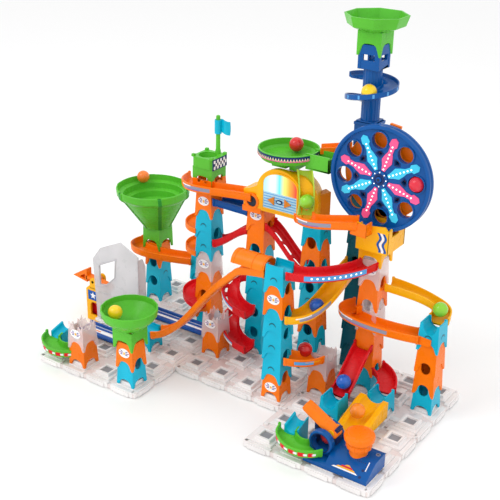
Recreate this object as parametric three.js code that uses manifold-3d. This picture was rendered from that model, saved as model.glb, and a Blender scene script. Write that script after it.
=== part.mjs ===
// A marble run: hollow tower blocks stand on a studded base, and carry slides, quarter curves,
// funnels, a music dome with a shallow dish, a light-up marble wheel and a spiral tower.
// Millimetres, +Z up. Towers stand on a square grid: place (i, j) is i pitches to the right
// and j pitches back, and a height is counted in blocks (levels) above the deck of the base.
import * as THREE from 'three';
import { mergeVertices } from 'three/addons/utils/BufferGeometryUtils.js';
import Module from 'manifold-3d';

const wasm = await Module();
wasm.setup();

// Driving dimensions
const PITCH = 36;                        // stud to stud
const LEVEL = 26.4;                      // height that one block adds to a tower
const BLOCK = 23.4;                      // outside of a block
const WALL = 1.8;                        // block wall
const DECK = 8;                          // top of the base plate
const STUD_HEIGHT = 3.5;
const STUD = 17;                         // outside of a square stud
const MARBLE = 16;
const TRACK_WIDTH = 20.4;
const TRACK_WALL = 1.6;
const TRACK_DEPTH = 8.5;
const GAP = 0.3;                         // clearance between pieces that touch
const CHANNEL_FLOOR = 0.45;              // depth of a channel block's trough, in levels
const ORIGIN_I = 2.5;                    // the grid place that the origin lies under
const ORIGIN_J = 1;
const HALF = BLOCK / 2;

const COLOUR = {
  clear: 0xe9dfe0, orange: 0xf26a10, teal: 0x14a3bd, green: 0x4fbb35, yellow: 0xf7b80e,
  red: 0xd5161f, blue: 0x10479a, grey: 0xb9b7b8, navy: 0x1b2c63,
};

// Places and plain solids

const atX = (i) => (i - ORIGIN_I) * PITCH;
const atY = (j) => (j - ORIGIN_J) * PITCH;
const atZ = (level) => DECK + level * LEVEL;
const spot = (i, j, level) => new THREE.Vector3(atX(i), atY(j), atZ(level));

function signedVolume(vertices, triangles) {
  const a = new THREE.Vector3();
  const b = new THREE.Vector3();
  const c = new THREE.Vector3();
  let total = 0;
  for (let t = 0; t < triangles.length; t += 3) {
    a.fromArray(vertices, triangles[t] * 3);
    b.fromArray(vertices, triangles[t + 1] * 3);
    c.fromArray(vertices, triangles[t + 2] * 3);
    total += a.dot(b.cross(c)) / 6;
  }
  return total;
}

// Turns a closed geometry into a solid whose faces point out.
function solid(geometry) {
  const bare = geometry.clone();
  bare.deleteAttribute('normal');
  bare.deleteAttribute('uv');
  const merged = mergeVertices(bare, 1e-4);
  const vertices = Float32Array.from(merged.attributes.position.array);
  const triangles = Uint32Array.from(merged.index.array);
  if (signedVolume(vertices, triangles) < 0) triangles.reverse();
  return new wasm.Manifold(new wasm.Mesh({ numProp: 3, vertProperties: vertices, triVerts: triangles }));
}

function box(x0, y0, z0, x1, y1, z1) {
  const geometry = new THREE.BoxGeometry(x1 - x0, y1 - y0, z1 - z0);
  geometry.translate((x0 + x1) / 2, (y0 + y1) / 2, (z0 + z1) / 2);
  return solid(geometry);
}

// A cylinder or cone between two points.
function rod(from, to, radiusFrom, radiusTo = radiusFrom, sides = 12) {
  const along = to.clone().sub(from);
  const geometry = new THREE.CylinderGeometry(radiusTo, radiusFrom, along.length(), sides);
  geometry.translate(0, along.length() / 2, 0);
  const up = new THREE.Vector3(0, 1, 0);
  geometry.applyQuaternion(new THREE.Quaternion().setFromUnitVectors(up, along.normalize()));
  geometry.translate(from.x, from.y, from.z);
  return solid(geometry);
}

const upright = (x, y, z0, z1, r0, r1 = r0, sides = 12) =>
  rod(new THREE.Vector3(x, y, z0), new THREE.Vector3(x, y, z1), r0, r1, sides);

// A turned shape: the profile lists [radius, height] pairs and starts and ends on the axis.
function turned(x, y, profile, sides = 20, phase = 0) {
  const points = profile.map(([r, h]) => new THREE.Vector2(r, h));
  const geometry = new THREE.LatheGeometry(points, sides, phase);
  geometry.rotateX(Math.PI / 2);
  geometry.translate(x, y, 0);
  return solid(geometry);
}

// A flat shape with straight edges, drawn out along +Z.
function plate(outline, depth) {
  const shape = new THREE.Shape(outline.map(([x, y]) => new THREE.Vector2(x, y)));
  return new THREE.ExtrudeGeometry(shape, { depth, bevelEnabled: false });
}

const join = (parts) => parts.reduce((all, part) => all.add(part));
const cut = (body, tools) => tools.reduce((left, tool) => left.subtract(tool), body);

const run = new THREE.Group();

function piece(name, body, colour, roughness = 0.35) {
  const mesh = body.getMesh();
  const geometry = new THREE.BufferGeometry();
  geometry.setAttribute('position', new THREE.BufferAttribute(Float32Array.from(mesh.vertProperties), 3));
  geometry.setIndex(new THREE.BufferAttribute(Uint32Array.from(mesh.triVerts), 1));
  geometry.computeVertexNormals();
  const material = new THREE.MeshStandardMaterial({ color: colour, roughness, metalness: 0 });
  const node = new THREE.Mesh(geometry, material);
  node.name = name;
  run.add(node);
}

// Base: clear plates with one square stud at each grid place

const PLATE_SEAM = 0.4;

function basePlate(name, i0, j0, columns, rows, bare = []) {
  const x0 = atX(i0 - 0.5) + PLATE_SEAM / 2;
  const y0 = atY(j0 - 0.5) + PLATE_SEAM / 2;
  const x1 = atX(i0 + columns - 0.5) - PLATE_SEAM / 2;
  const y1 = atY(j0 + rows - 0.5) - PLATE_SEAM / 2;
  const parts = [box(x0, y0, 0, x1, y1, DECK)];
  for (let i = i0; i < i0 + columns; i += 1) {
    for (let j = j0; j < j0 + rows; j += 1) {
      if (bare.some(([bi, bj]) => bi === i && bj === j)) continue;
      const half = STUD / 2;
      const [x, y] = [atX(i), atY(j)];
      parts.push(box(x - half, y - half, DECK - 1, x + half, y + half, DECK + STUD_HEIGHT));
    }
  }
  piece(name, join(parts), COLOUR.clear, 0.25);
}

basePlate('base_plate_left_front', -3, -2, 4, 3);
basePlate('base_plate_left_back', -3, 1, 4, 4);
basePlate('base_plate_middle', 1, 0, 4, 4);
basePlate('base_plate_right_front', 5, -2, 4, 3, [[6, -2], [7, -2], [8, -2], [7, -1], [6, -1], [7, 0]]);
basePlate('base_plate_right_back', 5, 1, 4, 3);

// Towers: square tubes with an arch between the feet, ports for marbles and, on some, an open
// channel across the top

const ARCH_RADIUS = 6.4;
const ARCH_HEIGHT = 9.5;
const PORT_RADIUS = 7.2;

const FACE = {
  front: [0, -1], back: [0, 1], left: [-1, 0], right: [1, 0],
};

function archCuts(x, y, z) {
  const tools = [];
  for (const [dx, dy] of [[1, 0], [0, 1]]) {
    const side = new THREE.Vector3(dx, dy, 0).multiplyScalar(BLOCK);
    const top = new THREE.Vector3(x, y, z + ARCH_HEIGHT - ARCH_RADIUS);
    tools.push(rod(top.clone().sub(side), top.clone().add(side), ARCH_RADIUS, ARCH_RADIUS, 8));
    const hx = dx ? BLOCK : ARCH_RADIUS * 0.95;
    const hy = dy ? BLOCK : ARCH_RADIUS * 0.95;
    tools.push(box(x - hx, y - hy, z - 1, x + hx, y + hy, z + ARCH_HEIGHT - ARCH_RADIUS));
  }
  return tools;
}

function portCut(x, y, level, face) {
  const [dx, dy] = FACE[face];
  const z = atZ(level);
  const inside = new THREE.Vector3(x + dx * 2, y + dy * 2, z);
  const outside = new THREE.Vector3(x + dx * BLOCK, y + dy * BLOCK, z);
  return rod(inside, outside, PORT_RADIUS, PORT_RADIUS, 8);
}

function channelCuts(x, y, top, axis) {
  const radius = HALF - 2.6;
  const floor = top - CHANNEL_FLOOR * LEVEL;
  const side = axis === 'x' ? new THREE.Vector3(BLOCK, 0, 0) : new THREE.Vector3(0, BLOCK, 0);
  const centre = new THREE.Vector3(x, y, floor + radius);
  const hx = axis === 'x' ? BLOCK : radius;
  const hy = axis === 'x' ? radius : BLOCK;
  return [
    rod(centre.clone().sub(side), centre.clone().add(side), radius, radius, 10),
    box(x - hx, y - hy, floor + radius, x + hx, y + hy, top + 1),
  ];
}

function tower(name, i, j, levels, colour, { channel, ports = [], from = 0 } = {}) {
  const x = atX(i);
  const y = atY(j);
  const top = atZ(from + levels);
  const bottom = atZ(from) + (from ? GAP : 0.05);
  let body = box(x - HALF, y - HALF, bottom, x + HALF, y + HALF, top);
  const bore = HALF - WALL;
  const roof = channel ? top - CHANNEL_FLOOR * LEVEL - WALL : top + 1;
  const tools = [box(x - bore, y - bore, bottom - 1, x + bore, y + bore, roof), ...archCuts(x, y, bottom)];
  if (channel) tools.push(...channelCuts(x, y, top, channel));
  for (const [level, face] of ports) tools.push(portCut(x, y, level, face));
  body = cut(body, tools);
  piece(name, body, colour);
  return { x, y, bottom, top };
}

tower('tower_front', 4, 0, 6, COLOUR.teal, {
  channel: 'x', ports: [[1, 'right'], [2, 'right'], [3, 'right'], [4, 'right'], [4.9, 'right']],
});
tower('tower_small_funnel', 0, -2, 2, COLOUR.orange, { ports: [[1, 'right']] });
tower('tower_left_low', -2, -2, 2, COLOUR.orange, { ports: [[1, 'left']] });
tower('tower_low_middle', 1, 1, 2, COLOUR.orange, { ports: [[1, 'left']] });
tower('tower_channel_left', -1, 0, 1, COLOUR.teal, { channel: 'x' });
tower('tower_right', 8, 2, 4, COLOUR.orange, { channel: 'y', ports: [[1, 'front'], [2, 'front']] });
tower('tower_channel_front', 6, 0, 1, COLOUR.teal, { channel: 'y' });
tower('tower_channel_right', 7, 1, 1, COLOUR.teal, { channel: 'y' });
tower('tower_low_right', 5, 1, 2, COLOUR.orange, { channel: 'x' });
tower('tower_big_funnel', -3, 3, 3, COLOUR.teal, { ports: [[1, 'front'], [2, 'front']] });
tower('tower_back_left', -1, 3, 3, COLOUR.teal, { channel: 'x' });
tower('tower_flag', 0, 2, 7, COLOUR.teal, { ports: [[2, 'front'], [4.8, 'right'], [6.7, 'right']] });
tower('tower_dome_left', 2, 2, 7, COLOUR.orange, {
  ports: [
    [1, 'front'], [2, 'front'], [4, 'front'], [5, 'front'], [1.9, 'left'], [3.6, 'left'], [6.3, 'right'],
  ],
});
tower('tower_dome_right', 4, 2, 7, COLOUR.teal, {
  ports: [[2, 'front'], [4, 'front'], [5, 'front'], [5.9, 'front'], [5, 'right'], [4.75, 'left']],
});
tower('tower_wheel', 6, 2, 6, COLOUR.orange, {
  ports: [[4, 'front'], [2.3, 'front'], [1, 'right'], [4, 'right'], [4.9, 'right']],
});
tower('tower_spiral', 5, 3, 10, COLOUR.teal, { ports: [[5.2, 'front']] });

// A space around a stretch of tower, for cutting the ends of tracks to fit it.
function towerRoom(i, j, fromLevel, toLevel) {
  const half = HALF + GAP;
  return box(atX(i) - half, atY(j) - half, atZ(fromLevel), atX(i) + half, atY(j) + half, atZ(toLevel));
}

// The same, where a skirt is slipped over the tower.
const SKIRT = 1.4;

function skirtRoom(i, j, fromLevel, toLevel) {
  const half = HALF + SKIRT + 2 * GAP;
  return box(atX(i) - half, atY(j) - half, atZ(fromLevel), atX(i) + half, atY(j) + half, atZ(toLevel));
}

// Tracks: a U section laid along a curve and kept level from side to side

function troughSection(width, depth, wall) {
  const w = width / 2;
  const inner = w - wall;
  return new THREE.Shape([
    new THREE.Vector2(-w, depth), new THREE.Vector2(-w, 0), new THREE.Vector2(-w + 3, -wall),
    new THREE.Vector2(w - 3, -wall), new THREE.Vector2(w, 0), new THREE.Vector2(w, depth),
    new THREE.Vector2(inner, depth), new THREE.Vector2(inner, 2),
    new THREE.Vector2(inner - 4, 0), new THREE.Vector2(-inner + 4, 0),
    new THREE.Vector2(-inner, 2), new THREE.Vector2(-inner, depth),
  ]);
}

function laid(curve, steps, section) {
  const geometry = new THREE.ExtrudeGeometry(section, { depth: 1, steps, bevelEnabled: false });
  const position = geometry.attributes.position;
  const point = new THREE.Vector3();
  const ahead = new THREE.Vector3();
  for (let n = 0; n < position.count; n += 1) {
    const along = position.getZ(n);
    curve.getPoint(along, point);
    curve.getTangent(along, ahead);
    ahead.setZ(0).normalize();
    const side = position.getX(n);
    position.setXYZ(n, point.x - ahead.y * side, point.y + ahead.x * side, point.z + position.getY(n));
  }
  return solid(geometry);
}

// A bend from one place to another that leaves and arrives in the given directions.
function bend(from, leave, to, arrive, reach) {
  const [start, end] = [spot(...from), spot(...to)];
  const out = new THREE.Vector3(...leave, 0).normalize().multiplyScalar(reach * PITCH);
  const into = new THREE.Vector3(...arrive, 0).normalize().multiplyScalar(reach * PITCH);
  return new THREE.CubicBezierCurve3(start, start.clone().add(out), end.clone().sub(into), end);
}

// Places of the larger pieces that some tracks run up to
const WHEEL = { x: atX(6.03), z: 254.5, front: 27, depth: 10.5, radius: 55.5, rim: 4, web: 5, bore: 3.4 };
const HOUSING = {
  left: atX(5.62), right: atX(6.62), front: 15.2, back: 55, step: 180.5, deck: 198, lip: 211, plate: 45,
};
const BARREL = 13;                       // outside radius of the launcher's barrel
const BASE = {
  left: atX(6.45), right: atX(8.35), front: atY(-2.35), back: atY(-1.28), foot: DECK + GAP, top: 24,
};

const TROUGH = troughSection(TRACK_WIDTH, TRACK_DEPTH, TRACK_WALL);
const RIGHT = [1, 0];
const LEFT = [-1, 0];
const BACK = [0, 1];
const FORWARD = [0, -1];

function track(name, curve, colour, rooms, steps = 8, extra = []) {
  piece(name, cut(join([laid(curve, steps, TROUGH), ...extra]), rooms), colour);
}

// The long slide leaves the front tower under a short arched cover.
const slidePath = new THREE.CatmullRomCurve3([
  spot(3.75, 0, 5.38), spot(2.8, 0, 5.16), spot(2.4, 0, 4.74), spot(1.7, 0, 3.8), spot(0.73, 0, 2.15),
  spot(0.2, 0, 1.4), spot(-0.3, 0, 0.9), spot(-0.72, 0, 0.68),
]);
const COVER = {
  radius: 12.6, wall: 2, left: atX(3.66) - 1.15 * PITCH, right: atX(3.66), axis: atZ(5.62), lift: -3,
};
const coverAxis = (x) => new THREE.Vector3(x, atY(0), COVER.axis);
const coverInner = COVER.radius - COVER.wall;
const cover = cut(rod(coverAxis(COVER.left), coverAxis(COVER.right), COVER.radius, COVER.radius, 14), [
  rod(coverAxis(COVER.left - 1), coverAxis(COVER.right + 1), coverInner, coverInner, 14),
  box(COVER.left - 1, atY(-0.5), atZ(4), COVER.right + 1, atY(0.5), COVER.axis + COVER.lift),
]);
track('slide_long', slidePath, COLOUR.orange,
  [towerRoom(4, 0, 5, 6.5), towerRoom(-1, 0, 0, 1.5)], 16, [cover]);

track('curve_red_lights', bend([4.2, 0, 5.55], RIGHT, [6, 1.8, 5.72], BACK, 0.88), COLOUR.red,
  [towerRoom(4, 0, 5, 6.5), skirtRoom(6, 2, 5, 6.5)]);
track('curve_yellow_middle', bend([4.2, 0, 3.62], RIGHT, [5, 2.8, 4.9], BACK, 1.1), COLOUR.yellow,
  [towerRoom(4, 0, 3, 5), towerRoom(5, 3, 4, 6)]);
track('curve_orange_small', bend([4.2, 0, 1.76], RIGHT, [5, 0.8, 1.7], BACK, 0.42), COLOUR.orange,
  [towerRoom(4, 0, 1, 3), towerRoom(5, 1, 1, 3)], 6);
track('curve_orange_right', bend([5.75, 1.9, 3.65], [-0.7, -0.7], [7.8, 1.9, 3.1], [0.95, 0.3], 1.3),
  COLOUR.orange, [towerRoom(6, 2, 3, 5), towerRoom(8, 2, 2, 4)], 10);
track('curve_yellow_right', bend([6.2, 2.3, 4.62], RIGHT, [8, 2.2, 3.66], FORWARD, 1.2), COLOUR.yellow,
  [towerRoom(6, 2, 4, 6), towerRoom(8, 2, 3, 4.6)], 10);
track('ramp_red_straight', bend([6, 1.8, 2.05], FORWARD, [6, 0.2, 0.66], FORWARD, 0.45), COLOUR.red,
  [towerRoom(6, 2, 1, 3), towerRoom(6, 0, 0, 2)]);
track('ramp_red_slotted', bend([2.2, 2, 6.02], RIGHT, [3.8, 2, 4.45], RIGHT, 0.5), COLOUR.red,
  [towerRoom(2, 2, 5, 7), towerRoom(4, 2, 4, 6)]);
track('ramp_red_curved', bend([0.2, 2, 4.5], RIGHT, [1.8, 2, 5.6], RIGHT, 0.55), COLOUR.red,
  [towerRoom(0, 2, 4, 6), towerRoom(2, 2, 5, 7)]);
track('ramp_blue', bend([0.2, 2, 6.45], RIGHT, [1.8, 2, 6.42], RIGHT, 0.5), COLOUR.blue,
  [towerRoom(0, 2, 6, 7), towerRoom(2, 2, 6, 8)], 4);
track('curve_orange_flag', bend([-0.68, 2.25, 7.12], FORWARD, [1.95, 1.7, 7.3], [1, 0.12], 1.22),
  COLOUR.orange, [skirtRoom(0, 2, 6, 8.2)], 10);
track('curve_orange_wheel', bend([4.05, 1.12, 7.3], [0.6, -0.5], [5.72, 1.3, 7.5], [1, 0.4], 0.6),
  COLOUR.orange,
  [box(HOUSING.left - GAP, HOUSING.front - GAP, HOUSING.step, HOUSING.right, HOUSING.back, WHEEL.z)]);
track('curve_orange_funnel', bend([-3.45, 2.95, 2.68], [-0.4, -1], [-1.2, 2.9, 2.58], [0.9, 0.4], 1.1),
  COLOUR.orange, [skirtRoom(-3, 3, 2, 5), towerRoom(-1, 3, 2, 4)], 10);
track('loop_red_upper', bend([1.8, 2.1, 3.3], LEFT, [2.3, 1.02, 2.35], RIGHT, 1.15), COLOUR.red,
  [towerRoom(2, 2, 2, 4)], 10);
track('loop_red_lower', bend([1.8, 2.1, 1.6], LEFT, [2.3, 1.02, 0.65], RIGHT, 1.15), COLOUR.red,
  [towerRoom(2, 2, 0, 3), towerRoom(1, 1, 0, 3)], 10);
track('curve_red_low', bend([6.2, 2, 0.95], RIGHT, [7, 1.2, 0.66], FORWARD, 0.45), COLOUR.red,
  [towerRoom(6, 2, 0, 2), towerRoom(7, 1, 0, 2)], 6);

// Both green curves swing around the front from a chute's foot.
const greenSwing = (i) => new THREE.CatmullRomCurve3([
  spot(i, -1.86, 0.5), spot(i + 0.06, -2.12, 0.42), spot(i + 0.36, -2.3, 0.36), spot(i + 0.66, -2.3, 0.33),
  spot(i + 0.88, -2.17, 0.31), spot(i + 1.02, -1.98, 0.3),
]);
const ringFront = atY(-2.05) - GAP;
track('curve_green_left', greenSwing(-3.38), COLOUR.green, [towerRoom(-2, -2, 0, 2)], 10);
track('curve_green_front', greenSwing(5.64), COLOUR.green, [
  box(BASE.left - 3, ringFront, DECK, BASE.right, BASE.back, BASE.top + BARREL),
  box(BASE.left - GAP, BASE.front - 8, DECK, BASE.right, BASE.back, 14 + GAP),
], 10);

// Striped lanes: flat floors with low rails

function lane(name, i0, i1, j, width, level) {
  const [x0, x1] = [atX(i0), atX(i1)];
  const [y0, y1] = [atY(j - width / 2), atY(j + width / 2)];
  const z = atZ(level);
  const rail = 2.5;
  const floor = box(x0, y0, z, x1, y1, z + 2);
  const rails = [box(x0, y0, z, x1, y0 + rail, z + 5), box(x0, y1 - rail, z, x1, y1, z + 5)];
  piece(name, join([floor, ...rails]), COLOUR.navy);
}

lane('lane_left', -3.25, -1.45, -0.62, 0.66, 0.32);
lane('lane_back', -2.25, 0.66, 1.12, 0.6, 0.66);

// Funnels

// A hollow square neck with arched skirts that slip over the block below.
function neck(x, y, z0, z1) {
  const half = HALF + GAP + SKIRT;
  const inner = HALF + GAP;
  const outside = box(x - half, y - half, z0, x + half, y + half, z1);
  const inside = box(x - inner, y - inner, z0 - 1, x + inner, y + inner, z1 + 1);
  return cut(outside, [inside, ...archCuts(x, y, z0)]);
}

function funnel(name, i, j, { rim, height, topZ, lean = 0, sides = 20, wallTop = 6, skirt = 9 }) {
  const x = atX(i);
  const y = atY(j);
  const throat = HALF - 3;
  const foot = topZ - height;
  const profile = [
    [throat, foot], [HALF + 2, foot], [rim, topZ - wallTop], [rim, topZ],
    [rim - 2, topZ], [rim - 2, topZ - wallTop + 1], [throat, foot + 3], [throat, foot],
  ];
  const points = profile.map(([r, h]) => new THREE.Vector2(r, h));
  const geometry = new THREE.LatheGeometry(points, sides, Math.PI / sides);
  geometry.rotateX(Math.PI / 2);
  const position = geometry.attributes.position;
  for (let n = 0; n < position.count; n += 1) {
    const rise = (position.getZ(n) - foot) / height;
    position.setX(n, position.getX(n) + lean * rise);
  }
  geometry.translate(x, y, 0);
  piece(name, join([solid(geometry), neck(x, y, foot - skirt, foot + 1.5)]), COLOUR.green);
}

funnel('funnel_big', -3, 3, { rim: 45.5, height: 52, topZ: 159, lean: -7, sides: 24, skirt: 28, wallTop: 9 });
funnel('funnel_small', 0, -2, { rim: 31.5, height: 25, topZ: 101, sides: 16, skirt: 23 });
funnel('funnel_top', 5, 3, { rim: 33, height: 17, topZ: 408, sides: 8, skirt: 24, wallTop: 9 });

// The music dome: a shell on two towers, with a marble groove down its front right side

const DOME = {
  i: 3.15, j: 2, half: 39, front: 15.6, back: 57, foot: atZ(7) + GAP, top: 243, wall: 2.4, face: 18,
};

function domeShell() {
  const x = atX(DOME.i);
  const rise = DOME.top - DOME.foot;
  const outline = (inset) => [
    [-DOME.half + inset, 0], [DOME.half - inset, 0], [DOME.half - inset, rise * 0.34],
    [DOME.half * 0.82 - inset, rise * 0.62], [DOME.half * 0.56 - inset, rise * 0.88],
    [DOME.half * 0.36 - inset, rise - inset], [-DOME.half * 0.36 + inset, rise - inset],
    [-DOME.half * 0.56 + inset, rise * 0.88], [-DOME.half * 0.82 + inset, rise * 0.62],
    [-DOME.half + inset, rise * 0.34],
  ];
  const slab = (inset, depth, y, z) => {
    const geometry = plate(outline(inset), depth);
    geometry.rotateX(Math.PI / 2);
    geometry.translate(x, y + depth, z);
    return solid(geometry);
  };
  const depth = DOME.back - DOME.front;
  const outside = slab(0, depth, DOME.front, DOME.foot);
  const hollow = slab(DOME.wall, depth - DOME.face - DOME.wall, DOME.front + DOME.face, DOME.foot - 1);
  const grooveTop = new THREE.Vector3(x + 16, DOME.front + 6, DOME.top + 4);
  const grooveFoot = new THREE.Vector3(x + 30, DOME.front - 2, atZ(7.3) + 6);
  return cut(outside, [hollow, rod(grooveTop, grooveFoot, MARBLE / 2 + 0.8)]);
}
piece('music_dome', domeShell(), COLOUR.yellow);

// The shallow dish above the dome, with its spout towards the wheel

const DISH = { i: 2.89, j: 2.06, rim: 33.4, foot: DOME.top + GAP, floor: 250, top: 263.5 };
const [dishX, dishY] = [atX(DISH.i), atY(DISH.j)];
const dishBowl = turned(dishX, dishY, [
  [5, DISH.foot], [12, DISH.foot], [12, DISH.floor - 2], [DISH.rim - 1, DISH.floor + 4],
  [DISH.rim, DISH.top], [DISH.rim - 2, DISH.top], [DISH.rim - 3, DISH.floor + 6], [5, DISH.floor],
  [5, DISH.foot],
], 24);
const spoutOutside = box(dishX + 28, dishY - 10, DISH.floor - 3, dishX + 56, dishY + 11, DISH.top + 1);
const spoutInside = box(dishX + 26, dishY - 8, DISH.floor + 2, dishX + 54, dishY + 9, DISH.top + 2);
const dishHollow = turned(dishX, dishY, [
  [0, DISH.floor + 6], [DISH.rim - 3, DISH.floor + 6], [DISH.rim - 2, DISH.top + 1], [0, DISH.top + 1],
], 24);
piece('dish', cut(join([dishBowl, spoutOutside]), [spoutInside, dishHollow]), COLOUR.green);

// Flag block: a tray with a cup, and a pole for the flag

const FLAG = { i: 0, j: 2, foot: 202, tray: 222, top: 234, half: 14.6, pole: 2.6, tip: 278 };
const [flagX, flagY] = [atX(FLAG.i), atY(FLAG.j)];
const [poleX, poleY] = [flagX + 4, flagY + 11.4];
const flagNeck = neck(flagX, flagY, FLAG.foot, FLAG.tray + 1);
const tray = box(
  flagX - FLAG.half, flagY - FLAG.half, FLAG.tray, flagX + FLAG.half, flagY + FLAG.half, FLAG.top,
);
const cup = turned(flagX, flagY - 1, [
  [0, FLAG.tray - 1], [7, FLAG.tray - 1], [7, FLAG.tray + 3], [10.5, FLAG.top - 3], [10.5, FLAG.top + 1],
  [0, FLAG.top + 1],
], 14);
const pole = upright(poleX, poleY, FLAG.top - 2, FLAG.tip, FLAG.pole, FLAG.pole, 10);
piece('flag_block', join([cut(join([flagNeck, tray]), [cup]), pole]), COLOUR.green);

const FLAG_PANEL = { low: 257, high: 273, reach: 17, thick: 1.6 };
const sleeve = cut(
  upright(poleX, poleY, FLAG_PANEL.low, FLAG_PANEL.high, 4.2, 4.2, 12),
  [upright(poleX, poleY, FLAG_PANEL.low - 1, FLAG_PANEL.high + 1, FLAG.pole + GAP, FLAG.pole + GAP, 12)],
);
const panel = box(poleX + 3.5, poleY - FLAG_PANEL.thick / 2, FLAG_PANEL.low,
  poleX + FLAG_PANEL.reach, poleY + FLAG_PANEL.thick / 2, FLAG_PANEL.high);
piece('flag', join([sleeve, panel]), COLOUR.teal);

// The marble wheel turns on a pin that its housing carries

const HOLES = 8;
const HOLE_RING = 40;
const HOLE = 8.6;
const SMALL_RING = 27;
const SMALL_HOLE = 3.4;

const FIRST_HOLE = THREE.MathUtils.degToRad(4.5);
const alongWheel = (dx, y, dz) => new THREE.Vector3(WHEEL.x + dx, y, WHEEL.z + dz);

function wheelBody() {
  const { radius, rim, depth, web, bore, front } = WHEEL;
  const profile = [
    [bore, 3], [radius - rim, 3], [radius - rim, 0], [radius, 0], [radius, depth],
    [radius - rim, depth], [radius - rim, web + 3], [bore, web + 3], [bore, 3],
  ];
  const disc = new THREE.LatheGeometry(profile.map(([r, y]) => new THREE.Vector2(r, y)), 32);
  disc.translate(WHEEL.x, front, WHEEL.z);
  const tools = [];
  for (let n = 0; n < HOLES; n += 1) {
    const angle = FIRST_HOLE + (n / HOLES) * Math.PI * 2;
    const [c, s] = [Math.cos(angle), Math.sin(angle)];
    for (const [ring, hole, sides] of [[HOLE_RING, HOLE, 10], [SMALL_RING, SMALL_HOLE, 6]]) {
      const from = alongWheel(ring * c, front + 1, ring * s);
      const to = alongWheel(ring * c, front + depth - 1, ring * s);
      tools.push(rod(from, to, hole, hole, sides));
    }
  }
  return cut(solid(disc), tools);
}
piece('marble_wheel', wheelBody(), COLOUR.blue, 0.25);

const wheelBack = WHEEL.front + WHEEL.depth;
const housingNeck = neck(atX(6), atY(2), atZ(6) - 6, HOUSING.step + 1);
const housingBox = cut(
  box(HOUSING.left, HOUSING.front, HOUSING.step, HOUSING.right, HOUSING.back, HOUSING.lip),
  [
    box(HOUSING.left + 2, HOUSING.front + 2, HOUSING.step + 2,
      HOUSING.right - 2, HOUSING.back - 2, HOUSING.lip + 1),
    box(HOUSING.left - 1, WHEEL.front - 2, HOUSING.deck, HOUSING.right + 1, wheelBack + 2, HOUSING.lip + 1),
    box(atX(6) - 8, atY(2) - 8, HOUSING.step - 2, atX(6) + 8, atY(2) + 8, HOUSING.step + 4),
  ],
);
const bracket = box(WHEEL.x - 8, wheelBack + 2.2, HOUSING.step, WHEEL.x + 8, wheelBack + 6.2, WHEEL.z);
const backPlate = rod(alongWheel(0, wheelBack + 2.2, 0), alongWheel(0, wheelBack + 6.2, 0),
  HOUSING.plate, HOUSING.plate, 28);
const pin = rod(
  new THREE.Vector3(WHEEL.x, WHEEL.front - 0.5, WHEEL.z),
  new THREE.Vector3(WHEEL.x, wheelBack + 4, WHEEL.z), WHEEL.bore - 0.05 - GAP, WHEEL.bore - 0.05 - GAP, 12,
);
piece('wheel_housing', join([housingNeck, housingBox, bracket, backPlate, pin]), COLOUR.yellow);

// The spiral tower: a collar block, a round column and a trough that winds down around it

const SPIRAL = {
  i: 5, j: 3, foot: 10, column: 11, head: 13.1, top: 386, core: 9.8, winding: 18.4, turns: 1.15, start: 341,
};
const [spiralX, spiralY] = [atX(SPIRAL.i), atY(SPIRAL.j)];

class Helix extends THREE.Curve {
  getPoint(t, target = new THREE.Vector3()) {
    const turn = SPIRAL.turns * t;
    const angle = Math.PI * (1 - 2 * turn);
    const z = SPIRAL.start - 9.5 * turn - 13 * turn * turn;
    return target.set(Math.cos(angle), Math.sin(angle), 0).multiplyScalar(SPIRAL.winding)
      .add(new THREE.Vector3(spiralX, spiralY, z));
  }
}

function spiralTower() {
  const collar = cut(
    box(spiralX - HALF, spiralY - HALF, atZ(SPIRAL.foot) + GAP,
      spiralX + HALF, spiralY + HALF, atZ(SPIRAL.column)),
    [
      box(spiralX - HALF + WALL, spiralY - HALF + WALL, 0, spiralX + HALF - WALL, spiralY + HALF - WALL,
        atZ(SPIRAL.column) - 3),
      ...archCuts(spiralX, spiralY, atZ(SPIRAL.foot) + 8),
    ],
  );
  const column = upright(spiralX, spiralY, atZ(SPIRAL.column) - 1, atZ(SPIRAL.head) + 1, SPIRAL.core);
  const trough = laid(new Helix(), 22, troughSection(18, 5, 1.6));
  const head = cut(
    box(spiralX - HALF, spiralY - HALF, atZ(SPIRAL.head), spiralX + HALF, spiralY + HALF, SPIRAL.top),
    [box(spiralX - 9, spiralY - 9, atZ(SPIRAL.head) + 4, spiralX + 9, spiralY + 9, SPIRAL.top + 1),
      box(spiralX - HALF - 1, spiralY - 8, atZ(SPIRAL.head) + 4, spiralX - 8, spiralY + 8, SPIRAL.top - 8)],
  );
  return join([collar, column, trough, head]);
}
piece('spiral_tower', spiralTower(), COLOUR.blue, 0.25);

// Front launcher: a base with a barrel, a push button, a hinged lever and the scoop that feeds it

const barrelX = atX(6.74);
const barrelZ = 27.5;
const BUTTON = { x: atX(7.72), y: atY(-1.66), radius: 15.6, skirt: 12.4, stem: 9.5, foot: 30.5, top: 46.5 };

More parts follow.
